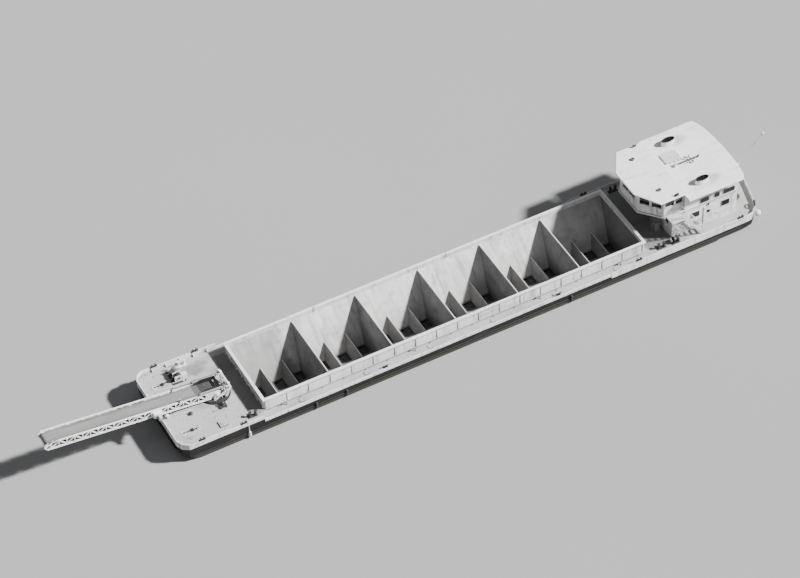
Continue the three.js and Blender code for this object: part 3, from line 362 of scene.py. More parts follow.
class Steelwork:
    def __init__(self, place=SHIP):
        self.points = []
        self.faces = []
        self.place = place

    def add(self, points, faces):
        start = len(self.points)
        self.points += [Vector(point) for point in points]
        self.faces += [[start + index for index in face] for face in faces]

    def mirror(self):
        """Repeat on the other side of the middle all that is gathered so far."""
        self.add([(x, -y, z) for x, y, z in self.points], list(self.faces))

    def block(self, low, high):
        xs, ys, zs = zip(low, high)
        self.add([(x, y, z) for x in xs for y in ys for z in zs], BLOCK_FACES)

    def plate(self, outline, thickness):
        """A flat plate: an outline of points and a vector through its thickness."""
        points = [Vector(point) for point in outline]
        through = Vector(thickness)
        self.add(points + [point + through for point in points], bands(2, len(points)))

    def pipe(self, path, radius, sides=8, closed=False):
        """A round bar through the points of a path, mitred where it bends."""
        points = [Vector(point) for point in path]
        count = len(points)
        legs = [(points[(i + 1) % count] - points[i]).normalized() for i in range(count)]
        rings = []
        last = None
        for i, point in enumerate(points):
            before = legs[i - 1] if closed or i else legs[0]
            after = legs[i] if closed or i < count - 1 else legs[i - 1]
            along = (before + after).normalized()
            normal = square_to(along) if last is None else last.rotation_difference(along) @ normal
            last = along
            side = along.cross(normal)
            bend = (after - before).normalized()
            mitre = 1.0 / max(before.dot(along), 0.5) - 1.0
            offsets = [(normal * u + side * v) * radius for u, v in around(sides)]
            rings += [point + offset + bend * offset.dot(bend) * mitre for offset in offsets]
        self.add(rings, bands(count, sides, closed))

    def turned(self, base, axis, outline, sides=20):
        """A turned piece: (height along the axis, radius) pairs about a line from its base."""
        along = Vector(axis).normalized()
        normal = square_to(along)
        side = along.cross(normal)
        spokes = [normal * u + side * v for u, v in around(sides)]
        points = []
        for height, radius in outline:
            centre = Vector(base) + along * height
            points += [centre + spoke * radius for spoke in spokes]
        self.add(points, bands(len(outline), sides))

    def stub(self, base, axis, radius, length, sides=16):
        """A plain round stub, such as a bolt's head, a pin or a flange."""
        self.turned(base, axis, [(0, radius), (length, radius)], sides)

    def hoop(self, centre, axis, radius, thick, turns=24, sides=8, stretch=1.0):
        """A closed ring about an axis, longer from side to side by the stretch."""
        wide, tall = ring_plane(axis)
        path = [Vector(centre) + (wide * u * stretch + tall * v) * radius for u, v in around(turns)]
        self.pipe(path, thick, sides, closed=True)

    def wheel(self, centre, axis, radius, rim, bars, thin, turns=24, first=0.0):
        """A hand wheel: a round rim, and bars that cross it from side to side."""
        self.hoop(centre, axis, radius, rim, turns)
        wide, tall = ring_plane(axis)
        for u, v in around(2 * bars, radius, first)[:bars]:
            arm = wide * u + tall * v
            self.pipe([Vector(centre) + arm, Vector(centre) - arm], thin, 6)

    def make(self, name, finish, slot, body="hull", edge=0.0):
        mesh = bpy.data.meshes.new(name)
        mesh.from_pydata([self.place @ point * SCALE for point in self.points], [], self.faces)
        shaped = bmesh.new()
        shaped.from_mesh(mesh)
        bmesh.ops.recalc_face_normals(shaped, faces=shaped.faces)
        shaped.to_mesh(mesh)
        shaped.free()
        mesh.shade_smooth()
        mesh.set_sharp_from_angle(angle=math.radians(35))
        mesh.materials.append(finish.material)
        piece = new_object(name, mesh)
        if edge:
            rounding = piece.modifiers.new("rounded_edges", "BEVEL")
            rounding.width = edge * SCALE
            rounding.segments = 2
            rounding.limit_method = "ANGLE"
        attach(piece, body)
        return piece


# White steel. The coaming, strakes and house are painted plate, white gone slightly chalky,
# with dirt run down from the edges, faint buckling between the frames and a few rust stains.
def white_finish(name, tone=0.82, grime=0.6, seam=1.2, lined=False):
    paint = Finish(name)
    x, y, z = paint.place()
    up = paint.facing_up()
    patches = paint.noise(1.3)
    grain = paint.noise(22.0, detail=2.0)
    runs = paint.marks(3.5, 0.46, 0.74, (1.0, 1.0, 0.1))
    scuffs = paint.marks(1.8, 0.54, 0.68, (0.3, 1.0, 4.0), detail=8.0)
    rust = paint.marks(5.0, 0.6, 0.7, (1.0, 1.0, 0.22))
    welds = seams(x, seam, 0.012)
    upright = 1 - up.rise(0.5, 0.9)
    colour = paint.coats(
        paint.blend(patches, grey(tone * 0.72, 0.012), grey(tone, 0.004)),
        (runs * upright * grime, grey(0.2, 0.06)),
        (scuffs * upright * grime * 0.6, grey(0.26, 0.03)),
        (rust * grime, (0.2, 0.085, 0.04, 1.0)),
        (welds * 0.35, grey(0.3, 0.04)),
    )
    if lined:
        worn_steel = scoured_steel(paint, scouring(paint), 0.44, 0.58)
        colour = paint.blend(sloped(up, y) * (z < 1.02), colour, worn_steel)
    height = patches * 0.8 + welds * 0.35 + grain * 0.08
    return paint.wear(colour, 0.36 + patches * 0.16, height, 0.006, 0.5)


white_paint = white_finish("white_plating")
dress(white_paint, "bulwark_bow", "bulwark_stern", "sheer_strake_port", "sheer_strake_stbd")
dress(white_paint, "house_lower_walls", "house_upper_walls", "wheelhouse_walls")
dress(white_paint, "house_door_port", "house_door_stbd", "stern_staff", "boom_rest", "stern_fender")


# Black steel. Bollards, fairleads, the mast and other small gear are in black enamel, rubbed
# to grey where lines and hands have worn it.
def dark_finish(name, tone=0.03, worn=0.22, rough=0.42):
    paint = Finish(name)
    patches = paint.noise(6.0)
    rubbed = paint.marks(11.0, 0.58, 0.72)
    colour = paint.blend(patches, grey(tone * 0.7), grey(tone * 1.3))
    colour = paint.blend(rubbed * 0.5, colour, grey(worn, 0.04))
    return paint.wear(colour, rough + patches * 0.2, patches + rubbed * 0.4, 0.003, 0.5)


black_paint = dark_finish("black_enamel")
dress(black_paint, "bollard_bow_port", "bollard_stern_port", "bollard_stern_stbd")
dress(black_paint, "mast", "anchor", "anchor_seat", "engine_port", "engine_stbd", "mooring_winch")
dress(white_paint, "bollard_bow_stbd")

# Hold coaming. An upright plate round the hold with a flanged rim, stiffened outside by
# flat-bar ribs under the rim, with a service pipe clipped along its foot on each side.
COAMING_HALF = 3.5
COAMING_ENDS = ((HOLD_FORE, 1), (HOLD_AFT, -1))
DECK_Z = 1.3
RIM_Z = 2.31
RIB_PITCH = 1.92
HOLD_HALF = 3.3
PIPE_Z = DECK_Z + 0.12
coaming_paint = white_finish("coaming_plating", seam=0.96, lined=True)
dress(coaming_paint, "hold_coaming")
side_rib = ((0, DECK_Z), (0.05, DECK_Z), (0.05, 2.22), (0.03, RIM_Z), (0, RIM_Z))
end_rib = ((0.12, DECK_Z), (0.23, DECK_Z), (0.23, 2.24), (0.17, RIM_Z), (0.12, RIM_Z))
ribs = Steelwork()
for step in range(int(BAYS * BAY / RIB_PITCH) + 1):
    x = HOLD_AFT + step * RIB_PITCH
    ribs.plate([(x, COAMING_HALF + out, z) for out, z in side_rib], (0.03, 0, 0))
ribs.mirror()
for step in range(8):
    y = -HOLD_HALF + step * 2 * HOLD_HALF / 7
    for end, way in COAMING_ENDS:
        ribs.plate([(end + way * out, y, z) for out, z in end_rib], (0, 0.03, 0))
ribs.make("coaming_ribs", coaming_paint, "white_paint")

pipes = Steelwork()
run = COAMING_HALF + 0.2
pipes.pipe([(HOLD_AFT + 0.3, run, PIPE_Z), (HOLD_FORE - 0.2, run, PIPE_Z)], 0.045, 10)
for step in range(18):
    x = HOLD_AFT + 0.6 + step * 1.94
    pipes.block((x - 0.04, run - 0.07, DECK_Z), (x + 0.04, run + 0.07, DECK_Z + 0.07))
    pipes.hoop((x, run, PIPE_Z), FORE, 0.052, 0.012, 14, 6)
pipes.mirror()
grey_paint = dark_finish("grey_enamel", 0.22, 0.4, 0.5)
dress(grey_paint, "deck_locker")
pipes.make("deck_service_pipes", grey_paint, "dark_paint")


# Hopper plating. Bare and primed steel scoured by gravel, streaked down the slopes and dusty in
# the corners, darker towards the bottom and over the foremost bay, with painted shadow over the
# aftmost bay. Its tone is under half the side slopes', painted shade for the saddles' faces turned
# from the sun.
def shaded_hopper_finish():
    paint = Finish("hopper_plating_painted_shade")
    grain = paint.noise(30.0, detail=2.0)
    scour = scouring(paint)
    # painted shade: the side slopes' steel (0.44, 0.58) at under half its tone
    colour = scoured_steel(paint, scour, 0.19, 0.27)
    return paint.wear(colour, 0.5 + scour * 0.2, scour * 1.2 + grain * 0.2, 0.008, 0.6)


dress(shaded_hopper_finish(), *[f"hopper_saddle_{i}" for i in range(BAYS + 1)], "outlet_gates")

# Ridge bars. Each saddle has a round bar welded along its sharp ridge to take the grab's
# knocks, a heavy one on the high saddles and a light one on the low ones.
HIGH_RIDGE_Z = 2.0
LOW_RIDGE_Z = 0.2
LOW_RIDGE_HALF = 1.52
bars = Steelwork()
for i in range(1, BAYS):
    x = HOLD_AFT + i * BAY
    bars.pipe([(x, -HOLD_HALF, HIGH_RIDGE_Z), (x, HOLD_HALF, HIGH_RIDGE_Z)], 0.06, 12)
for i in range(BAYS):
    for place in (1.92, 3.84):
        x = HOLD_AFT + i * BAY + place
        bars.pipe([(x, -LOW_RIDGE_HALF, LOW_RIDGE_Z), (x, LOW_RIDGE_HALF, LOW_RIDGE_Z)], 0.04, 10)
bars.make("ridge_bars", coaming_paint, "white_paint")

# Side decks. Round manholes with bolted covers over each tank, small cleats at the deck edge
# and a rubbing bar of half-round steel along the hull's black side.
HULL_HALF = 4.44
manholes = Steelwork()
for i in range(BAYS):
    x, y = HOLD_AFT + (i + 0.5) * BAY, 4.08
    manholes.turned((x, y, DECK_Z), UP, [(0, 0.27), (0.03, 0.27), (0.03, 0.23), (0.05, 0.22)], 24)
    for u, v in around(10, 0.25):
        manholes.stub((x + u, y + v, DECK_Z + 0.02), UP, 0.018, 0.025, 6)
manholes.mirror()
manholes.make("tank_manholes", hull_paint, "dark_paint")
CLEAT_Y = 4.3
cleats = Steelwork()
horns = ((-0.26, 0.24), (-0.15, 0.2), (0.15, 0.2), (0.26, 0.24))
for x in (9.0, -6.9):
    cleats.block((x - 0.2, CLEAT_Y - 0.09, DECK_Z), (x + 0.2, CLEAT_Y + 0.09, DECK_Z + 0.04))
    for post in (-0.09, 0.09):
        cleats.turned((x + post, CLEAT_Y, DECK_Z), UP, [(0, 0.05), (0.16, 0.045), (0.2, 0.06)], 12)
    cleats.pipe([(x + along, CLEAT_Y, DECK_Z + high) for along, high in horns], 0.045)
cleats.mirror()
cleats.make("deck_edge_cleats", black_paint, "dark_paint")
guard = Steelwork()
guard.pipe([(-24.4, HULL_HALF, 0.5), (26.1, HULL_HALF, 0.5)], 0.07, 12)
guard.mirror()
guard.make("rubbing_bars", hull_paint, "black_paint")

# Bulwarks. A pipe rail caps the plating at the bow and the stern, and triangular brackets
# stand behind it on the deck.
RAIL_Y = 4.47
SHEER_Z = 1.38
STERN_TOP = 1.6
BOW_STARTS = 19.8
STERN_STARTS = -11.8


def foredeck(x):
    return DECK_Z + 0.052 * (x - HOLD_FORE - 0.12)


def bow_top(x):
    return 1.66 + 0.0371 * (x - 18)


def mirrored(line):
    """A line on one side of the ship, carried on back along the other side."""
    return line + [(x, -y, z) for x, y, z in reversed(line)]


bow_line = [(BOW_STARTS, RAIL_Y), (23.0, RAIL_Y), (26.32, RAIL_Y), (26.79, 4.17), (27.03, 3.66)]
stern_line = [(-13.2, RAIL_Y), (-24.82, RAIL_Y), (-25.42, 4.39), (-25.93, 3.95)]
stern_line += [(-26.28, 3.17), (-26.73, 1.61), (-27.03, 0.4)]
caps = Steelwork()
caps.pipe(mirrored([(x, y, bow_top(x)) for x, y in bow_line]), 0.035)
caps.pipe(mirrored([(STERN_STARTS, RAIL_Y, SHEER_Z)] + [(x, y, STERN_TOP) for x, y in stern_line]), 0.035)
for y in (-RAIL_Y, RAIL_Y):
    caps.pipe([(STERN_STARTS, y, SHEER_Z), (BOW_STARTS, y, SHEER_Z)], 0.03)
caps.make("bulwark_rails", white_paint, "white_paint")
stays = Steelwork()
wall = 4.43
for x in (20.6, 21.8, 23.0, 24.2, 25.4):
    deck, top = foredeck(x), bow_top(x) - 0.04
    stays.plate([(x, wall, deck), (x, wall - 0.3, deck), (x, wall, top)], (0.03, 0, 0))
for step in range(9):
    x = -13.8 - step * 1.3
    outline = [(x, wall, DECK_Z), (x, wall - 0.24, DECK_Z), (x, wall, STERN_TOP - 0.03)]
    stays.plate(outline, (0.03, 0, 0))
stays.mirror()
deck = foredeck(26.9)
for y in (-3.5, -2.1, -1.3, 1.3, 2.1, 3.5):
    stays.plate([(26.99, y, deck), (26.7, y, deck - 0.015), (26.99, y, 1.95)], (0, 0.03, 0))
stays.make("bulwark_stays", white_paint, "white_paint")

# Roofs and decks of the house. Flat plate in bright white on the roofs, welded in strips, with
# soot fallen aft of the funnels, and light grey non-slip paint on the bridge deck and the stair.
FUNNEL_X = -21.4
FUNNEL_Y = 2.65


def roof_finish():
    paint = Finish("roof_plating")
    x, y, z = paint.place()
    patches = paint.noise(1.0)
    grain = paint.noise(25.0, detail=2.0)
    streaks = paint.marks(1.6, 0.5, 0.78, (0.5, 2.2, 1.0))
    rust = paint.marks(6.0, 0.63, 0.7, (0.6, 1.4, 1.0))
    vent = z.rise(3.008, 3.012) * (x > -9.2)
    along = (x - FUNNEL_X * SCALE + 0.3) * 1.2
    aside = (abs(y) - FUNNEL_Y * SCALE) * 2.4
    soot = 1 - (along * along + aside * aside + patches * 0.5).rise(0.25, 1.1)
    welds = seams(x, 0.62, 0.008) + seams(y, 0.9, 0.008)
    colour = paint.coats(
        paint.blend(patches, grey(0.68, 0.01), grey(0.87, 0.004)),
        (streaks * 0.5, grey(0.36, 0.03)),
        (soot * 0.6, grey(0.2, 0.02)),
        (welds * 0.3, grey(0.3, 0.03)),
        (rust * 0.35, (0.26, 0.14, 0.08, 1.0)),
        (vent, grey(0.05)),
    )
    height = patches * 0.7 + welds * 0.4 + grain * 0.1
    return paint.wear(colour, 0.42 + patches * 0.15, height, 0.006, 0.5)


def walkway_finish():
    paint = Finish("walkway_paint")
    patches = paint.noise(2.0)
    tread = paint.noise(60.0, detail=1.0)
    worn = paint.marks(3.0, 0.5, 0.72)
    colour = paint.blend(patches, grey(0.42, 0.012), grey(0.56, 0.012))
    colour = paint.blend(worn * 0.4, colour, grey(0.26, 0.04))
    return paint.wear(colour, 0.6 + patches * 0.15, tread * 0.6 + patches * 0.4, 0.004, 0.6)


roof_paint = roof_finish()
dress(roof_paint, "wheelhouse_roof", "house_roof")
dress(walkway_finish(), "bridge_deck", "bridge_stair")

# Funnels. Two oval exhaust casings, white outside and sooted black inside, each with a rim
# rolled from round bar and two pipe ends standing in the opening.
AFT_ROOF_Z = 5.6
FUNNEL_TURNS = 48
FUNNEL_SKIN = ((0.632, 0.312, 0.02), (0.632, 0.312, 0.455), (0.6, 0.28, 0.455), (0.6, 0.28, 0.02))


def funnel_finish():
    paint = Finish("funnel_plating")
    x, y, z = paint.place()
    patches = paint.noise(4.0)
    across = (abs(y) - FUNNEL_Y * SCALE) * (1 / 0.142)
    along = (x - FUNNEL_X * SCALE) * (1 / 0.302)
    inside = 1 - (along * along + across * across).rise(0.9, 0.97)
    soot = (z + patches * 0.05).rise(3.0, 3.06)
    colour = paint.blend(soot * 0.35, grey(0.8), grey(0.28))
    colour = paint.blend(inside, colour, grey(0.008))
    return paint.wear(colour, 0.45 + patches * 0.2, patches, 0.003, 0.4)


def oval(long, wide, high, turns):
    """Points round the port funnel's axis, at a height above the roof."""
    return [(FUNNEL_X + long * u, FUNNEL_Y + wide * v, AFT_ROOF_Z + high) for u, v in around(turns)]


funnel_paint = funnel_finish()
dress(funnel_paint, "funnel_port", "funnel_stbd")
casings = Steelwork()
exhausts = Steelwork()
skin = [point for ring in FUNNEL_SKIN for point in oval(*ring, FUNNEL_TURNS)]
casings.add(skin, bands(len(FUNNEL_SKIN), FUNNEL_TURNS, closed=True))
for along in (-0.24, 0.2):
    foot = (FUNNEL_X + along, FUNNEL_Y, AFT_ROOF_Z + 0.16)
    exhausts.turned(foot, UP, [(0, 0.13), (0.24, 0.13), (0.24, 0.105), (0.05, 0.105)])
exhausts.pipe(oval(0.59, 0.27, 0.45, 32), 0.035, closed=True)
casings.mirror()
exhausts.mirror()
casings.make("funnel_casings", funnel_paint, "white_paint")
exhausts.make("exhaust_pipes", black_paint, "dark_paint")


# Windows. Toughened panes, dark from outside, in aluminium frames screwed to the plating; the
# wheelhouse band is open plate with one sheet of glass behind it.
def glass_finish():
    glass = Finish("window_glass", Specular_IOR_Level=0.3)
    haze = glass.noise(2.5, detail=3.0)
    colour = glass.blend(haze, (0.0063, 0.0072, 0.009, 1.0), (0.0198, 0.0216, 0.0243, 1.0))
    return glass.wear(colour, 0.04 + haze * 0.1, haze, 0.001, 0.1)


def metal_finish(name, colour, rough, scratch=40.0):
    metal = Finish(name, Metallic=1.0)
    marks = metal.noise(scratch, (1.0, 1.0, 0.2), detail=5.0)
    stain = metal.marks(3.0, 0.45, 0.7, detail=4.0)
    shades = [tuple(part * level for part in colour[:3]) + (1.0,) for level in (0.85, 1.1, 0.5)]
    surface = metal.blend(stain * 0.3, metal.blend(marks, shades[0], shades[1]), shades[2])
    return metal.wear(surface, rough + marks * 0.15, marks, 0.001, 0.3)


HOUSE_HALF = 3.3
PORTHOLE = (0.6, 0.6, 0.29)
window_glass = glass_finish()
dress(window_glass, "wheelhouse_glass")
frame_metal = metal_finish("window_frames", grey(0.6), 0.35)
panes = Steelwork()
frames = Steelwork()


def window(centre, out, wide, high, corner=0.1):
    """One framed window: a pane just off the plating, and a rounded frame round it."""
    across = UP.cross(out)
    outline = []
    for right, top, start in ((1, 1, 0), (-1, 1, 90), (-1, -1, 180), (1, -1, 270)):
        for k in range(4):
            a = math.radians(start + k * 30)
            u = right * (wide / 2 - corner) + corner * math.cos(a)
            v = top * (high / 2 - corner) + corner * math.sin(a)
            outline.append(Vector(centre) + across * u + UP * v)
    panes.plate([point + out * 0.004 for point in outline], out * 0.012)
    frames.pipe([point + out * 0.012 for point in outline], 0.03, 6, closed=True)


for x, wide in ((-21.3, 0.9), (-22.5, 0.55), (-23.65, 1.15)):
    window((x, HOUSE_HALF, 4.16), PORT, wide, 0.56)
for x in (-19.05, -20.45, -23.35):
    window((x, HOUSE_HALF, 2.9), PORT, 0.8, 0.6)
for y in (0.85, 2.25):
    window((-24.5, y, 4.5), -FORE, 0.9, 0.72)
    window((-24.5, y + 0.25, 2.72), -FORE, *PORTHOLE)
for y in (1.3, 2.5):
    window((-18.25, y, 2.75), FORE, *PORTHOLE)
panes.mirror()
frames.mirror()
panes.make("house_window_panes", window_glass, "window_glass")
frames.make("house_window_frames", frame_metal, "white_paint")

# Wheelhouse windows. Each opening in the plating has a rubber-bedded metal frame and a bar
# across at half height, and the three on each side that face forward have wipers.
WHEELHOUSE_WINDOWS = (  # the middle in x and y, the way out in x and y, and the width
    (-16.05, 0.48, 1, 0, 0.86),
    (-16.42, 1.83, 1.7, 1.45, 0.86),
    (-17.1, 2.63, 1.7, 1.45, 0.86),
    (-18.05, 3.1, 0, 1, 0.86),
    (-18.95, 3.1, 0, 1, 0.7),
)
band = Steelwork()
wipers = Steelwork()
rise = UP * 0.425
for x, y, out_x, out_y, wide in WHEELHOUSE_WINDOWS:
    for side in SIDES:
        out = Vector((out_x, side * out_y, 0)).normalized()
        run = UP.cross(out) * wide / 2
        middle = Vector((x, side * y, 5.175)) + out * 0.006
        corners = [middle + run + rise, middle - run + rise, middle - run - rise, middle + run - rise]
        band.pipe(corners, 0.022, 6, closed=True)
        deep = middle - out * 0.06
        band.pipe([deep + run, deep - run], 0.022, 6)
        if out_x:
            foot = middle - rise * 0.98 + out * 0.03 + run * 0.5
            wipers.turned(foot - out * 0.04, out, [(0, 0.03), (0.05, 0.025)], 10)
            wipers.pipe([foot, foot + rise * 1.2 - run * 0.9], 0.009, 6)
            wipers.pipe([foot + rise * 0.8 - run * 0.35, foot + rise * 1.6 - run * 1.35], 0.012, 6)
band.make("wheelhouse_window_frames", frame_metal, "white_paint")
wipers.make("window_wipers", black_paint, "dark_paint")

# House fittings. Folded steel drip edges round the roofs, pipe handrails on the landings and
# the stair, grab rails along the walls, engine-room louvres and lamps over the side doors.
WHEELHOUSE_EDGE = ((-19.45, -3.5), (-16.95, -3.5), (-15.65, -1.43))
AFT_EDGE = ((-19.42, -4.0), (-24.3, -4.0), (-24.55, -3.94), (-24.85, -3.4), (-25.0, -2.4), (-25.11, -1.2))
edges = Steelwork()
for outline, z in ((WHEELHOUSE_EDGE, 5.93), (AFT_EDGE, 5.53)):
    edges.pipe(mirrored([(x, y, z) for x, y in outline]), 0.06, closed=True)
edges.make("roof_edges", roof_paint, "white_paint")
LANDING_Z = 3.9
GRAB_Z = 2.2
rails = Steelwork()
for side in SIDES:
    corners = [(-17.74, side * HOUSE_HALF), (-17.74, side * 4.16), (-18.86, side * 4.16)]
    if side < 0:
        corners.append((-18.86, side * 3.45))
    for high in (0.5, 0.95):
        rails.pipe([(x, y, LANDING_Z + high) for x, y in corners], 0.024)
    for x, y in corners:
        rails.pipe([(x, y, LANDING_Z - 0.01), (x, y, LANDING_Z + 0.95)], 0.024)
lift = UP * 0.85
for y in (3.5, 4.1):
    foot, top = Vector((-20.72, y, 1.36)), Vector((-18.92, y, 3.86))
    middle, end = foot.lerp(top, 0.5), top + Vector((0.03, 0, 0))
    rails.pipe([foot, foot + lift, end + lift + UP * 0.08, end], 0.024)
    rails.pipe([middle, middle + lift], 0.02)
for fore, aft in ((-18.6, -19.75), (-22.5, -24.2)):
    grab = ((fore, HOUSE_HALF), (fore, HOUSE_HALF + 0.08), (aft, HOUSE_HALF + 0.08), (aft, HOUSE_HALF))
    for side in SIDES:
        rails.pipe([(x, side * y, GRAB_Z) for x, y in grab], 0.02)
rails.make("house_handrails", white_paint, "white_paint")
louvres = Steelwork()
face = HOUSE_HALF + 0.03
louvres.block((-20.95, HOUSE_HALF, 1.6), (-20.25, face, 2.2))
for step in range(9):
    z = 1.65 + step * 0.06
    slat = [(-20.92, face, z), (-20.92, face, z + 0.05), (-20.92, face + 0.04, z)]
    louvres.plate(slat, (0.64, 0, 0))
louvres.mirror()
louvres.make("engine_louvres", grey_paint, "dark_paint")
DOOR_X = -21.7
DOOR_LAMP = [(0, 0.09), (0.04, 0.09), (0.05, 0.07), (0.12, 0.06), (0.14, 0.03)]
SIDE_LAMP = [(0, 0.05), (0.03, 0.05), (0.04, 0.04), (0.12, 0.04), (0.14, 0.05), (0.16, 0.03)]
lamps = Steelwork()
lamps.turned((DOOR_X, HOUSE_HALF, 3.5), PORT, DOOR_LAMP, 16)
lamps.block((-18.75, HOUSE_HALF, 6.0), (-18.35, HOUSE_HALF + 0.12, 6.05))
lamps.block((-18.75, HOUSE_HALF, 6.03), (-18.35, HOUSE_HALF + 0.03, 6.24))
lamps.turned((-18.5, HOUSE_HALF + 0.08, 6.05), UP, SIDE_LAMP, 16)
lamps.mirror()
lamps.make("house_lamps", black_paint, "dark_paint")

# Side doors. Each has a round light, a lever handle and three hinge knuckles at its fore edge.
# The handle and hinges are bare metal, screwed on, and the light is a pane behind a round frame.
HANDLE_X, HANDLE_Z = -22.02, 2.3
HINGE_X = -21.27
LIGHT_Z = 2.75
for side, label in ((1, "port"), (-1, "stbd")):
    face = side * 3.362
    out = (0, side, 0)
    fittings = Steelwork()
    fittings.hoop((DOOR_X, face, LIGHT_Z), PORT, 0.19, 0.022, 28)
    grip = ((HANDLE_X, 0), (HANDLE_X, 0.05), (HANDLE_X + 0.16, 0.05))
    fittings.pipe([(x, face + side * high, HANDLE_Z) for x, high in grip], 0.018)
    fittings.stub((HANDLE_X, face, HANDLE_Z), out, 0.045, 0.012, 14)
    for z in (1.75, 2.4, 3.05):
        inner, outer = face - side * 0.01, face + side * 0.01
        fittings.stub((HINGE_X, inner, z - 0.07), UP, 0.022, 0.14, 10)
        fittings.block((HINGE_X - 0.23, inner, z - 0.03), (HINGE_X, outer, z + 0.03))
    fittings.make(f"door_fittings_{label}", frame_metal, "cylinder_steel", f"door_{label}")
    light = Steelwork()
    light.stub((DOOR_X, face - side * 0.004, LIGHT_Z), out, 0.185, 0.008, 28)
    light.make(f"door_light_{label}", window_glass, "window_glass", f"door_{label}")

# Roof gear. A flanged hatch with clamps and a pipe guard, rings round the two roof vents, and
# the lowered mast with lamps on its yard, two stay eyes and a sheave.
hatch_lid = Steelwork()
hatch_lid.block((-21.43, -1.63, 5.7), (-19.97, -0.47, 5.725))
hatch_paint = white_finish("hatch_plating", 0.62, 0.5)
hatch_lid.make("roof_hatch_lid", hatch_paint, "white_paint", edge=0.012)
roof_gear = Steelwork()
for x in (-21.1, -20.7, -20.3):
    for y in (-1.64, -0.46):
        roof_gear.block((x - 0.03, y - 0.03, AFT_ROOF_Z), (x + 0.03, y + 0.03, 5.74))
for fore_y, aft_y, high, radius in ((-0.4, -0.1, 0.26, 0.035), (0.16, 0.3, 0.2, 0.03)):
    guard = ((-21.55, fore_y, 0), (-21.55, fore_y, high), (-21.95, aft_y, high), (-21.95, aft_y, 0))
    roof_gear.pipe([(x, y, AFT_ROOF_Z + z) for x, y, z in guard], radius, 10)
for y in (-2.09, 2.09):
    roof_gear.hoop((-17.65, y, 6.115), UP, 0.15, 0.02)
roof_gear.make("roof_hatch_gear", grey_paint, "dark_paint")
MAST_Z = 5.76
rig = Steelwork()
rig.turned((-22.0, 0.38, 5.73), UP, [(0, 0.045), (0.03, 0.05), (0.12, 0.05), (0.15, 0.03)], 14)
rig.hoop((-21.2, 0.07, MAST_Z), FORE, 0.03, 0.01, 12)
rig.mirror()
rig.hoop((-20.5, 0, MAST_Z), PORT, 0.062, 0.02, 20)
rig.turned((-22.68, 0, MAST_Z + 0.1), UP, [(0, 0.06), (0.02, 0.07), (0.05, 0.02)], 14)
rig.make("mast_rigging", grey_paint, "dark_paint", "mast")


# Turntable. The ring is black, a painted shade for the dark well round the boom's foot; the
# cheeks and the low cylinder frame on it are white. Hexagon bolts hold the ring, and pipes
# brace the frame's legs.
def turntable_finish():
    paint = Finish("turntable_plating")
    z = paint.place("Z")[0]
    patches = paint.noise(2.0)
    grain = paint.noise(30.0, detail=2.0)
    runs = paint.marks(4.0, 0.52, 0.75, (1.0, 1.0, 0.15))
    colour = paint.coats(
        paint.blend(patches, grey(0.74, 0.01), grey(0.82, 0.004)),
        (runs * 0.3, grey(0.3, 0.06)),
        # painted shade: black below the cheeks, for the dark well round the ring
        ((0.86 + patches * 0.03 - z).rise(0.0, 0.025), grey(0.03)),
    )
    return paint.wear(colour, 0.4 + patches * 0.2, patches * 0.8 + grain * 0.15, 0.005, 0.5)


RING = Matrix.Translation((SLEW_X, 0, 0))
RING_BOLT = [(0, 0.038), (0.01, 0.038), (0.01, 0.026), (0.035, 0.026)]
FRAME_HEAD_Z = 2.5
FRAME_LAMP = [(-0.1, 0.05), (-0.06, 0.09), (0.05, 0.12), (0.06, 0.1)]
turntable_paint = turntable_finish()
dress(turntable_paint, "boom_turntable")
ring_bolts = Steelwork(RING)
ring_bolts.stub((-0.8, 0.86, FRAME_HEAD_Z), PORT, 0.07, 0.025)
for x in (-0.3, 0.3):
    gusset = [(x, 0.9, 1.64), (x, 1.12, 1.66), (x, 0.9, 1.85)]
    ring_bolts.plate(gusset, (0.03, 0, 0))
ring_bolts.mirror()
for u, v in around(28, 1.16, math.pi / 28):
    ring_bolts.turned((u, v, 1.66), UP, RING_BOLT, 6)
ring_bolts.make("turntable_bolts", turntable_paint, "white_paint", "turntable")
braces = Steelwork(RING)
braces.pipe([(-0.68, 0.98, 1.82), (-0.95, -0.98, 2.42)], 0.035, 10)
braces.pipe([(-0.1, 1.02, 1.96), (-0.7, 1.02, 1.96)], 0.035, 10)
for z in (1.9, 2.14, 2.38):
    x = -0.57 - (z - 1.62) * 0.48
    braces.pipe([(x, 1.06, z), (x, 1.2, z)], 0.015, 6)
braces.pipe([(-0.67, 1.2, 1.82), (-0.97, 1.2, 2.46)], 0.02)
braces.pipe([(-1.05, 0.7, 2.55), (-1.06, 0.7, 2.66)], 0.02)
braces.turned((-1.03, 0.7, 2.68), (1, 0, -0.5), FRAME_LAMP, 16)
for step in range(4):
    braces.hoop((-0.62 - step * 0.1, 0.3, 1.68 + step * 0.22), PORT, 0.09, 0.018, 14, 6)
braces.mirror()
braces.make("turntable_braces", turntable_paint, "white_paint", "turntable")

# Slewing gear. A toothed ring under the turntable, turned by a pinion and an upright motor on
# the port side of the foredeck.
SLEW_MOTOR = [(0, 0.17), (0.05, 0.17), (0.05, 0.13), (0.26, 0.13), (0.3, 0.1), (0.34, 0.04)]
gear = Steelwork(RING)
for u, v in around(72):
    out = Vector((u, v, 0))
    wide = Vector((-v, u, 0)) * 0.03
    root = UP * 1.42 + out * 1.295
    tip = root + out * 0.05
    gear.plate([root - wide, root + wide, tip + wide * 0.6, tip - wide * 0.6], UP * 0.11)
gear.turned((0, 1.47, 1.4), UP, [(0, 0.11), (0.15, 0.11), (0.15, 0.05), (0.2, 0.05)], 16)
gear.make("slewing_teeth", black_paint, "dark_paint")
slew = Steelwork(RING)
slew.block((-0.3, 1.42, 1.58), (0.3, 1.95, 1.62))
for x in (-0.26, 0.2):
    slew.block((x, 1.6, foredeck(SLEW_X) - 0.01), (x + 0.06, 1.95, 1.6))
slew.turned((0, 1.66, 1.62), UP, SLEW_MOTOR)
slew.make("slewing_motor", black_paint, "dark_paint", edge=0.01)


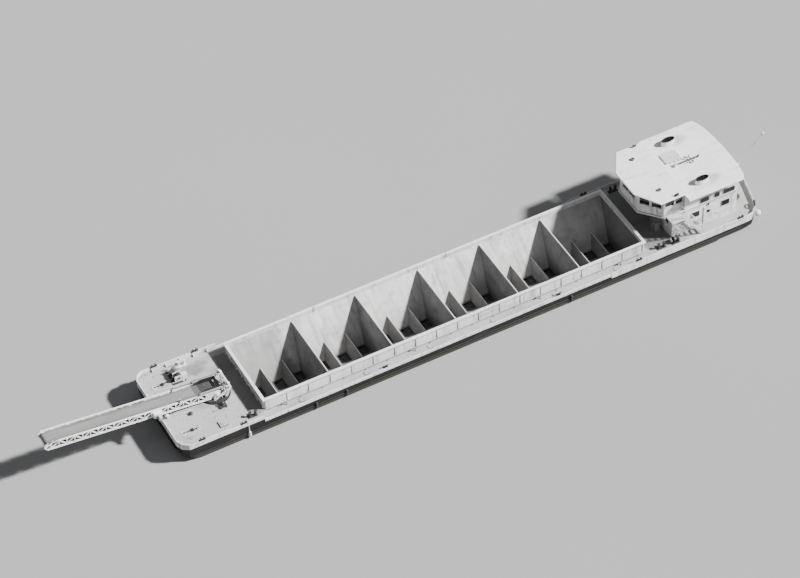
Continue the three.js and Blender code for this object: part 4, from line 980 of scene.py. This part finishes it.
# Boom. White steel lattice, chipped and dusty from the stone, with flanges and gussets welded
# on, rubber belt over steel idler rollers, and a feed box over the tail.
def boom_finish():
    paint = Finish("boom_plating")
    patches = paint.noise(2.2)
    grain = paint.noise(26.0, detail=2.0)
    chips = paint.marks(12.0, 0.66, 0.72)
    grime = paint.marks(4.0, 0.5, 0.78, (1.0, 1.0, 0.4))
    colour = paint.coats(
        paint.blend(patches, grey(0.72, 0.01), grey(0.82, 0.004)),
        (grime * 0.4, grey(0.36, 0.05)),
        (chips * 0.7, (0.2, 0.12, 0.08, 1.0)),
    )
    height = patches * 0.7 + grain * 0.12 - chips * 0.3
    return paint.wear(colour, 0.42 + patches * 0.18, height, 0.004, 0.5)


def rubber_finish():
    rubber = Finish("conveyor_rubber")
    x, y = rubber.place("XY")
    patches = rubber.noise(3.0)
    dust = rubber.marks(5.0, 0.35, 0.7, (0.15, 1.0, 1.0), detail=7.0)
    grit = rubber.marks(45.0, 0.5, 0.7, detail=2.0)
    middle = 1 - abs(y).rise(0.12, 0.29)
    # painted shade: no dust or grit short of x 11.9, so the belt under the feed box at the boom's tail
    # stays dark for the well there; the tunnel's belt stays undusted too
    beyond_shaded_tail = x > 11.9
    colour = rubber.coats(
        rubber.blend(patches, grey(0.07), grey(0.11)),
        (dust * 0.35 * beyond_shaded_tail, grey(0.24, 0.04)),
        (middle * (0.3 + grit * 0.3) * beyond_shaded_tail, grey(0.3, 0.04)),
    )
    return rubber.wear(colour, 0.7 + patches * 0.15, grit * 0.5 + patches * 0.5, 0.002, 0.6)


PIVOT_Z = 2.0
BOOM_RISE = math.radians(-7.3)
BOOM = Matrix.Translation((SLEW_X, 0, PIVOT_Z)) @ Matrix.Rotation(BOOM_RISE, 4, "Y")
PANELS = 21
PANEL = 0.66
boom_paint = boom_finish()
roller_steel = metal_finish("roller_steel", grey(0.42), 0.4)
dress(boom_paint, "boom_frame")
dress(rubber_finish(), "boom_belt", "tunnel_belt")
plates = Steelwork(BOOM)
gusset = ((-0.13, 0.28), (0.13, 0.28), (0.07, 0.17), (-0.07, 0.17))
for way in SIDES:
    plates.block((0.5, 0.655, way * 0.35), (14.45, 0.775, way * 0.362))
    for step in range(PANELS):
        x = 0.95 + step * PANEL
        outline = [(x + along, 0.75, way * high) for along, high in gusset]
        plates.plate(outline, (0, 0.012, 0))
pin = [(0, 0.13), (0.03, 0.13), (0.03, 0.06), (0.05, 0.06)]
plates.turned((0, 0.93, 0), PORT, pin, 24)
plates.mirror()
plates.make("boom_flanges", boom_paint, "white_paint", "boom")
# Feed box in black enamel with a grid of bars over its top: a dark sheet for the deep shade in the well
# at the boom's foot
feed = Steelwork(BOOM)
wall = ((-0.3, 0.3), (1.5, 0.3), (1.5, 0.46), (0.9, 0.72), (-0.3, 0.72))
feed.plate([(x, 0.56, z) for x, z in wall], (0, 0.02, 0))
for x in (-0.2, 0.5, 1.35):
    feed.block((x, 0.56, 0.3), (x + 0.05, 0.7, 0.36))
feed.mirror()
feed.block((-0.3, -0.58, 0.3), (-0.28, 0.58, 0.72))
for step in range(9):
    x = -0.22 + step * 0.13
    feed.block((x, -0.57, 0.62), (x + 0.02, 0.57, 0.68))
feed.make("feed_box", black_paint, "dark_paint", "boom")
idlers = Steelwork(BOOM)
hangers = Steelwork(BOOM)


def roller(x, z, radius, neck, sides):
    idlers.turned((x, -0.62, z), PORT, [(0, neck), (0.01, radius), (1.23, radius), (1.24, neck)], sides)


for step in range(10):
    x = 1.61 + step * 2 * PANEL
    for z, radius in ((0.195, 0.045), (-0.312, 0.04)):
        roller(x, z, radius, 0.015, 16)
        hangers.block((x - 0.04, 0.625, z - 0.04), (x + 0.04, 0.69, z + 0.04))
        hangers.stub((x, 0.61, z), PORT, 0.014, 0.03, 8)
hangers.mirror()
DRIVE_X = 5.25
roller(DRIVE_X, -0.143, 0.1, 0.05, 20)
idlers.make("idler_rollers", roller_steel, "cylinder_steel", "boom")
hangers.make("idler_brackets", boom_paint, "white_paint", "boom")
drive = Steelwork(BOOM)
drive.turned((DRIVE_X, 1.12, 0), PORT, [(0, 0.2), (0.04, 0.2), (0.04, 0.17)], 24)
for step in range(9):
    drive.hoop((DRIVE_X, 1.2 + step * 0.04, 0), PORT, 0.175, 0.012, 24, 6)
drive.turned((DRIVE_X, 1.58, 0), PORT, [(0, 0.175), (0.03, 0.17), (0.05, 0.12)], 24)
for x in (DRIVE_X - 0.22, DRIVE_X + 0.28):
    for z in (-0.15, 0.15):
        drive.stub((x, 1.15, z), PORT, 0.022, 0.02, 6)
drive.make("belt_drive_motor", grey_paint, "dark_paint", "boom")
BEARING = [(0, 0.12), (0.05, 0.12), (0.05, 0.07), (0.09, 0.07)]
HEAD_LAMP = [(-0.08, 0.04), (-0.04, 0.09), (0.06, 0.11), (0.07, 0.09)]
head = Steelwork(BOOM)
post, lamp = (13.6, 0.8, 0.52), (14.1, 0.8, 0.52)
head.turned((14.3, 0.75, 0), PORT, BEARING)
head.pipe([(13.6, 0.8, 0.2), post, lamp], 0.022)
head.pipe([(14.15, 0.66, -0.2), (14.52, 0.66, -0.26)], 0.025)
head.turned(lamp, (1, 0, -0.4), HEAD_LAMP, 16)
head.mirror()
scraper = [(14.5, -0.6, -0.3), (14.5, 0.6, -0.3), (14.56, 0.6, -0.12), (14.56, -0.6, -0.12)]
head.plate(scraper, (0.012, 0, 0.004))
head.make("boom_head_gear", grey_paint, "dark_paint", "boom")
conduit = Steelwork(BOOM)
for z, radius in ((0.24, 0.025), (0.18, 0.018)):
    conduit.pipe([(0.6, -0.8, z), (13.6, -0.8, z)], radius)
for step in range(PANELS):
    x = 0.93 + step * PANEL
    conduit.block((x, -0.76, 0.14), (x + 0.04, -0.83, 0.28))
conduit.make("boom_conduit", grey_paint, "dark_paint", "boom")

# Luffing cylinders. Painted barrels with a gland nut and a steel feed pipe, and hard-chromed
# rods with a turned eye.
dress(grey_paint, "luff_barrel_port", "luff_barrel_stbd")
dress(metal_finish("chromed_rod", grey(0.7), 0.12, scratch=90.0), "luff_rod_port", "luff_rod_stbd")
GLAND = [(0, 0.1), (0.0, 0.108), (0.1, 0.108), (0.11, 0.07), (0.12, 0.056)]
COLLAR = [(0, 0.105), (0.01, 0.115), (0.06, 0.115), (0.07, 0.105)]
FEED_PIPE = ((0.25, 0.7), (0.25, 1.15), (2.15, 1.15), (2.15, 0.7))
eye = Matrix.Rotation(BOOM_RISE, 3, "Y") @ Vector((3.2, 0, 0.46))
pivot = Vector((-0.8, 0, FRAME_HEAD_Z - PIVOT_Z))
ram = (eye - pivot).normalized()
top = ram.cross(PORT) * 0.125
for side, label in ((1, "port"), (-1, "stbd")):
    base = Vector((SLEW_X, side * 0.72, PIVOT_Z)) + pivot
    glands = Steelwork()
    glands.turned(base + ram * 2.26, ram, GLAND, 24)
    glands.turned(base + ram * 0.2, ram, COLLAR, 24)
    glands.pipe([base + ram * along + top * high for along, high in FEED_PIPE], 0.018)
    glands.make(f"cylinder_glands_{label}", black_paint, "dark_paint", "luff_barrels")


# Foredeck gear. Two mushroom ventilators, a hinged hatch, the windlass, and the anchor cables,
# chain that runs along the deck to the hawse pipes. Wire is wound on the drums of the windlass
# and of the mooring winch aft, and each has a brake wheel of round bar.
def windlass_finish():
    paint = Finish("windlass_enamel")
    x, y, z = paint.place()
    patches = paint.noise(6.0)
    rubbed = paint.marks(11.0, 0.58, 0.72)
    standards = (abs(y + 1.7) < 0.023) + (abs(y + 1.4) < 0.023) + (abs(y + 1.175) < 0.023)
    pale = standards + (x < 11.84) * (z > 0.8)
    colour = paint.coats(
        paint.blend(patches, grey(0.02), grey(0.04)),
        (pale.rise(0.2, 0.8), grey(0.6, 0.01)),
        (rubbed * 0.5, grey(0.2, 0.05)),
    )
    return paint.wear(colour, 0.42 + patches * 0.2, patches + rubbed * 0.4, 0.003, 0.5)


def on_foredeck(x, y, above):
    return Vector((x, y, foredeck(x) + above))


dress(windlass_finish(), "windlass")
MUSHROOM = [(0, 0.15), (0.03, 0.15), (0.03, 0.1), (0.1, 0.1)]
MUSHROOM += [(0.1, 0.17), (0.14, 0.19), (0.19, 0.15), (0.22, 0.05)]
ventilators = Steelwork()
for x, y in ((24.86, -1.44), (24.7, 1.3)):
    foot = on_foredeck(x, y, -0.01)
    ventilators.turned(foot, UP, MUSHROOM, 24)
    for u, v in around(6, 0.13):
        ventilators.stub(foot + Vector((u, v, 0.03)), UP, 0.014, 0.015, 6)
ventilators.make("deck_ventilators", black_paint, "dark_paint")
hatchway = Steelwork()
base = foredeck(22.9)
hatchway.block((22.6, 3.1, base - 0.03), (23.2, 3.7, base + 0.1))
hatchway.block((22.56, 3.06, base + 0.1), (23.24, 3.74, base + 0.13))
for y in (3.15, 3.55):
    hatchway.stub((22.55, y, base + 0.11), PORT, 0.03, 0.1, 10)
grip = ((3.3, 0.13), (3.3, 0.17), (3.5, 0.17), (3.5, 0.13))
hatchway.pipe([(23.1, y, base + high) for y, high in grip], 0.012)
hatchway.make("foredeck_hatch", hull_paint, "dark_paint", edge=0.012)

LINK = 0.11
STBD_CABLE_Y = -2.6
PORT_CABLE_Y = 2.9
cable = Steelwork()


def chain(start, end):
    """Studless links along a straight run, each turned a quarter from the last."""
    run = end - start
    along = run.normalized()
    across = along.cross(UP).normalized()
    count = int(run.length / LINK)
    for i in range(count + 1):
        middle = start + run * i / count
        wide = across if i % 2 else along.cross(across)
        path = []
        for way, first in ((1, -90), (-1, 90)):
            for k in range(5):
                a = math.radians(first + k * 45)
                path.append(middle + along * 0.04 * (way + math.cos(a)) + wide * 0.042 * math.sin(a))
        cable.pipe(path, 0.017, 6, closed=True)


chain(on_foredeck(24.28, -2.56, 0.42), on_foredeck(25.3, STBD_CABLE_Y, 0.09))
chain(on_foredeck(25.3, STBD_CABLE_Y, 0.05), on_foredeck(26.0, STBD_CABLE_Y, 0.03))
chain(on_foredeck(24.85, PORT_CABLE_Y, 0.08), on_foredeck(26.05, PORT_CABLE_Y, 0.04))
deck = foredeck(25.3)
for y in (STBD_CABLE_Y, PORT_CABLE_Y):
    for cheek in (y - 0.11, y + 0.09):
        cable.block((25.22, cheek, deck - 0.02), (25.42, cheek + 0.03, deck + 0.14))
    cable.pipe([(25.32, y - 0.13, deck + 0.12), (25.32, y + 0.13, deck + 0.12)], 0.022)
pipe_rims = Steelwork()
for x, y, radius in ((26.05, STBD_CABLE_Y, 0.17), (26.1, PORT_CABLE_Y, 0.17),
                     (24.82, PORT_CABLE_Y, 0.12), (23.4, -2.56, 0.12)):
    pipe_rims.hoop(on_foredeck(x, y, 0.02), (-0.052, 0, 1), radius, 0.035)
pipe_rims.make("chain_pipe_rims", white_paint, "white_paint")
cable.make("anchor_cables", black_paint, "dark_paint")

WINDLASS_X = 24.0
WINCH_Y, WINCH_Z = 3.86, 1.68
wire = Steelwork()
for step in range(13):
    wire.hoop(on_foredeck(WINDLASS_X, -3.33 + step * 0.037, 0.451), PORT, 0.268, 0.017, 28, 6)
for step in range(10):
    wire.hoop((-18.4 + step * 0.031, WINCH_Y, WINCH_Z), FORE, 0.14, 0.015, 24, 6)
wire.make("winch_wire", roller_steel, "cylinder_steel")
wheels = Steelwork()
wheels.wheel(on_foredeck(WINDLASS_X, -3.72, 0.45), PORT, 0.19, 0.018, 4, 0.012)
wheels.wheel((-17.82, WINCH_Y, WINCH_Z), FORE, 0.17, 0.015, 4, 0.01)
wheels.make("brake_wheels", white_paint, "white_paint")

# Fairleads and chocks. Pairs of upright rollers between plates on the bulwarks at the mooring
# places, a closed chock at the port quarter, and rubber blocks bolted to the hull's side.
LEAD_Y = 4.45
LEAD_ROLLER = [(0, 0.07), (0.02, 0.07), (0.05, 0.055), (0.15, 0.055), (0.18, 0.07), (0.2, 0.07)]
BOW_FENDER = [(0, 0.05), (0.05, 0.1), (0.15, 0.13), (0.45, 0.13), (0.55, 0.1), (0.6, 0.05)]
leads = Steelwork()
for x, top in ((21.6, bow_top(21.6)), (25.2, bow_top(25.2)), (-14.4, STERN_TOP), (-24.2, STERN_TOP)):
    for y in (-LEAD_Y, LEAD_Y):
        leads.block((x - 0.3, y - 0.09, top + 0.02), (x + 0.3, y + 0.07, top + 0.05))
        for post in (-0.13, 0.13):
            leads.turned((x + post, y, top + 0.05), UP, LEAD_ROLLER, 16)
        for end in (x - 0.28, x + 0.24):
            leads.block((end, y - 0.06, top + 0.05), (end + 0.04, y + 0.05, top + 0.2))
chock = Vector((-26.1, 3.6, 1.62))
along = Vector((-0.41, -0.91, 0)).normalized()
leads.hoop(chock + UP * 0.13, (-0.91, 0.41, 0), 0.15, 0.06, stretch=1.5)
footing = ((-0.32, 0.08), (0.32, 0.08), (0.32, -0.06), (-0.32, -0.06))
leads.plate([chock + along * run + FORE * out for run, out in footing], UP * 0.06)
leads.make("fairleads", black_paint, "dark_paint")
BLOCK_Y = HULL_HALF + 0.06
blocks = Steelwork()
for x in (15.3, 12.6, -8.0):
    blocks.pipe([(x, BLOCK_Y, 0.2), (x, BLOCK_Y + 0.01, 0.85)], 0.085, 14)
    for z in (0.3, 0.75):
        blocks.hoop((x, BLOCK_Y, z), UP, 0.09, 0.014, 18, 6)
blocks.mirror()
blocks.make("side_fenders", black_paint, "black_paint")
bow_fenders = Steelwork()
bow_fenders.turned((21.2, 4.52, 0.12), UP, BOW_FENDER)
bow_fenders.block((21.17, HULL_HALF, 0.6), (21.23, BLOCK_Y, 1.45))
bow_fenders.mirror()
bow_fenders.make("bow_fenders", white_finish("pale_rubber", 0.66, 0.5), "white_paint")

# Staff head. A turned ball with a sheave collar, pushed over the staff's upper end and painted
# white with it.
BALL = [(0, 0.045), (0.06, 0.045), (0.09, 0.09), (0.17, 0.11), (0.25, 0.09), (0.3, 0.03)]
finial = Steelwork()
finial.turned((-28.9, 0, 5.19), (-2.25, 0, 2.45), BALL)
finial.make("staff_head", white_paint, "white_paint")

# Deck fittings. Air pipes with hooded heads over the tanks, rungs up the coaming's ends, a
# capstan and a round hatch on the counter, and hinges and a clasp on the locker.
AIR_PIPE = ((0, 0), (0, 0.3), (0.03, 0.37), (0.1, 0.4), (0.17, 0.37), (0.2, 0.26))
VENT_Y = 3.9
vents = Steelwork()
for x in (17.6, 6.1, -5.4, -13.0):
    vents.pipe([(x + along, VENT_Y, DECK_Z + high) for along, high in AIR_PIPE], 0.045, 12)
    vents.stub((x, VENT_Y, DECK_Z), UP, 0.09, 0.02)
vents.mirror()
vents.make("tank_air_pipes", grey_paint, "dark_paint")
RUNG = ((0.11, -0.2), (0.27, -0.2), (0.27, 0.2), (0.11, 0.2))
rungs = Steelwork()
for end, way in COAMING_ENDS:
    for y in (-2.4, 2.4):
        for z in (1.6, 1.85, 2.1):
            rungs.pipe([(end + way * out, y + aside, z) for out, aside in RUNG], 0.016)
rungs.make("coaming_rungs", white_paint, "white_paint")
CAPSTAN = Vector((-26.05, -0.75, DECK_Z))
CAPSTAN_SHAPE = [(0, 0.26), (0.05, 0.26), (0.07, 0.2), (0.2, 0.15)]
CAPSTAN_SHAPE += [(0.36, 0.16), (0.42, 0.22), (0.47, 0.22), (0.5, 0.12)]
HATCH = Vector((-25.3, 1.9, DECK_Z))
HATCH_SHAPE = [(0, 0.34), (0.1, 0.34), (0.1, 0.38), (0.14, 0.38), (0.17, 0.3)]
counter = Steelwork()
counter.turned(CAPSTAN, UP, CAPSTAN_SHAPE, 24)
for u, v in around(8):
    out = Vector((u, v, 0))
    counter.pipe([CAPSTAN + UP * 0.12 + out * 0.185, CAPSTAN + UP * 0.38 + out * 0.17], 0.018, 6)
counter.turned(HATCH, UP, HATCH_SHAPE, 32)
counter.wheel(HATCH + UP * 0.22, UP, 0.13, 0.015, 3, 0.01, first=math.pi / 6)
counter.turned(HATCH + UP * 0.15, UP, [(0, 0.03), (0.08, 0.02)], 10)
counter.make("counter_deck_gear", black_paint, "dark_paint")
clasps = Steelwork()
for y in (1.44, 1.84):
    clasps.stub((-17.88, y, 2.24), PORT, 0.02, 0.12, 10)
clasps.block((-17.33, 1.66, 2.1), (-17.3, 1.74, 2.26))
clasps.hoop((-17.31, 1.7, 2.08), FORE, 0.03, 0.008, 12)
for y in (1.42, 1.98):
    clasps.block((-17.35, y - 0.02, 1.4), (-17.33, y + 0.02, 2.18))
clasps.make("locker_fittings", black_paint, "dark_paint")

# Outlets. Every outlet between the saddles has a sliding gate on two bars, half open over the
# tunnel's belt. The gates are black steel plate, and the bars are welded across the tunnel.
gates = Steelwork()
for i in range(BAYS):
    for place in (0.96, 2.88, 4.8):
        x = HOLD_AFT + i * BAY + place
        for bar in (x - 0.42, x + 0.36):
            gates.block((bar, -0.5, -0.86), (bar + 0.06, 0.5, -0.78))
        gates.block((x - 0.44, -0.46, -0.9), (x + 0.06, 0.46, -0.87))
gates.make("outlet_gate_plates", black_paint, "dark_paint")

# Propellers. Blades and boss are one bronze casting, worn to a satin face by the water and
# stained darker in patches.
cast_bronze = metal_finish("cast_bronze", (0.5, 0.3, 0.11, 1.0), 0.3, scratch=14.0)
dress(cast_bronze, "propeller_port", "propeller_stbd")

# Helm. A steel console with a sloping panel of dials, two throttle levers and a small wheel,
# and a seat with a stitched vinyl cushion and back on a steel pillar.
dress(dark_finish("console_enamel", 0.1, 0.3, 0.5), "helm_console")
PANEL_UP = Vector((-0.37, 0, 0.93)).normalized()


def panel(y, share):
    """A place on the sloping panel, at a share of its depth from its near edge."""
    return Vector((-17.2 + 0.5 * share, y, 4.85 + 0.25 * share))


dials = Steelwork()
for y in (-0.7, -0.5, 0.5, 0.7):
    dials.turned(panel(y, 0.7), PANEL_UP, [(0, 0.075), (0.015, 0.075), (0.015, 0.065)])
screen = [Vector(corner) for corner in
          ((-0.12, -0.18, -0.05), (0.12, -0.18, 0.06), (0.12, 0.18, 0.06), (-0.12, 0.18, -0.05))]
for y in (-0.25, 0.25):
    dials.plate([panel(y, 0.55) + corner for corner in screen], PANEL_UP * 0.02)
dials.make("helm_dials", window_glass, "window_glass")
HELM_Z = 4.72
LEVER = Vector((-0.05, 0, 0.16))
controls = Steelwork()
controls.wheel((-17.32, 0, HELM_Z), (1, 0, 0.25), 0.24, 0.016, 3, 0.01, 28)
controls.pipe([(-17.34, 0, HELM_Z), (-17.18, 0, HELM_Z - 0.02)], 0.025, 10)
for y in (-0.42, -0.5):
    foot = panel(y, 0.3)
    controls.pipe([foot, foot + LEVER], 0.012)
    knob = [(0, 0.012), (0.01, 0.024), (0.04, 0.024), (0.05, 0.012)]
    controls.turned(foot + LEVER - UP * 0.01, (-0.3, 0, 1), knob, 12)
controls.make("helm_controls", black_paint, "dark_paint")


def vinyl_finish():
    vinyl = Finish("seat_vinyl")
    grain = vinyl.node("TexVoronoi", {"feature": "F1"}, {"Vector": vinyl.spot, "Scale": 260.0})
    patches = vinyl.noise(12.0)
    creases = vinyl.marks(30.0, 0.5, 0.7, (1.0, 0.3, 1.0))
    colour = vinyl.blend(patches, (0.018, 0.02, 0.024, 1.0), (0.04, 0.043, 0.05, 1.0))
    colour = vinyl.blend(creases * 0.3, colour, grey(0.09))
    return vinyl.wear(colour, 0.42 + patches * 0.15, grain * 0.5 + creases * 0.5, 0.001, 0.5)


seat_vinyl = vinyl_finish()


def cushion(name, centre, half):
    """A crowned pad whose sides pull in between its corners, with a piped seam round it."""
    shaped = bmesh.new()
    bmesh.ops.create_cube(shaped, size=2.0)
    bmesh.ops.subdivide_edges(shaped, edges=shaped.edges[:], cuts=9, use_grid_fill=True)
    thin = min(range(3), key=lambda axis: half[axis])
    flat = [axis for axis in range(3) if axis != thin]
    for vertex in shaped.verts:
        a, b, c = vertex.co[flat[0]], vertex.co[flat[1]], vertex.co[thin]
        crown = 0.62 + 0.38 * (1 - a ** 4) * (1 - b ** 4) + 0.02 * math.cos(7 * a) * (1 - b * b)
        vertex.co[flat[0]] = half[flat[0]] * a * (0.96 - 0.05 * (1 - b * b) - 0.04 * c * c)
        vertex.co[flat[1]] = half[flat[1]] * b * (0.96 - 0.05 * (1 - a * a) - 0.04 * c * c)
        vertex.co[thin] = half[thin] * c * crown
        vertex.co = (vertex.co + Vector(centre)) * SCALE
    mesh = bpy.data.meshes.new(name)
    shaped.to_mesh(mesh)
    shaped.free()
    mesh.shade_smooth()
    mesh.materials.append(seat_vinyl.material)
    pad = new_object(name, mesh)
    smoothing = pad.modifiers.new("smooth", "SUBSURF")
    smoothing.levels = smoothing.render_levels = 1
    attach(pad, "hull")
    return pad


seat_pad = cushion("helm_seat_cushion", (-18.09, 0, 4.39), (0.25, 0.25, 0.075))
seat_back = cushion("helm_seat_back", (-18.37, 0, 4.78), (0.065, 0.24, 0.27))
PILLAR = [(0.005, 0.25), (0.02, 0.25), (0.04, 0.08), (0.06, 0.06), (0.4, 0.06), (0.4, 0.12), (0.42, 0.12)]
seat_post = Steelwork()
seat_post.turned((-18.1, 0, LANDING_Z), UP, PILLAR, 24)
seat_post.pipe([(-18.2, 0, 4.3), (-18.4, 0, 4.32), (-18.44, 0, 4.45), (-18.44, 0, 4.8)], 0.02)
pillar = seat_post.make("helm_seat_post", roller_steel, "dark_paint")
for part in (seat_pad, seat_back, pillar):
    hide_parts("helm_seat")
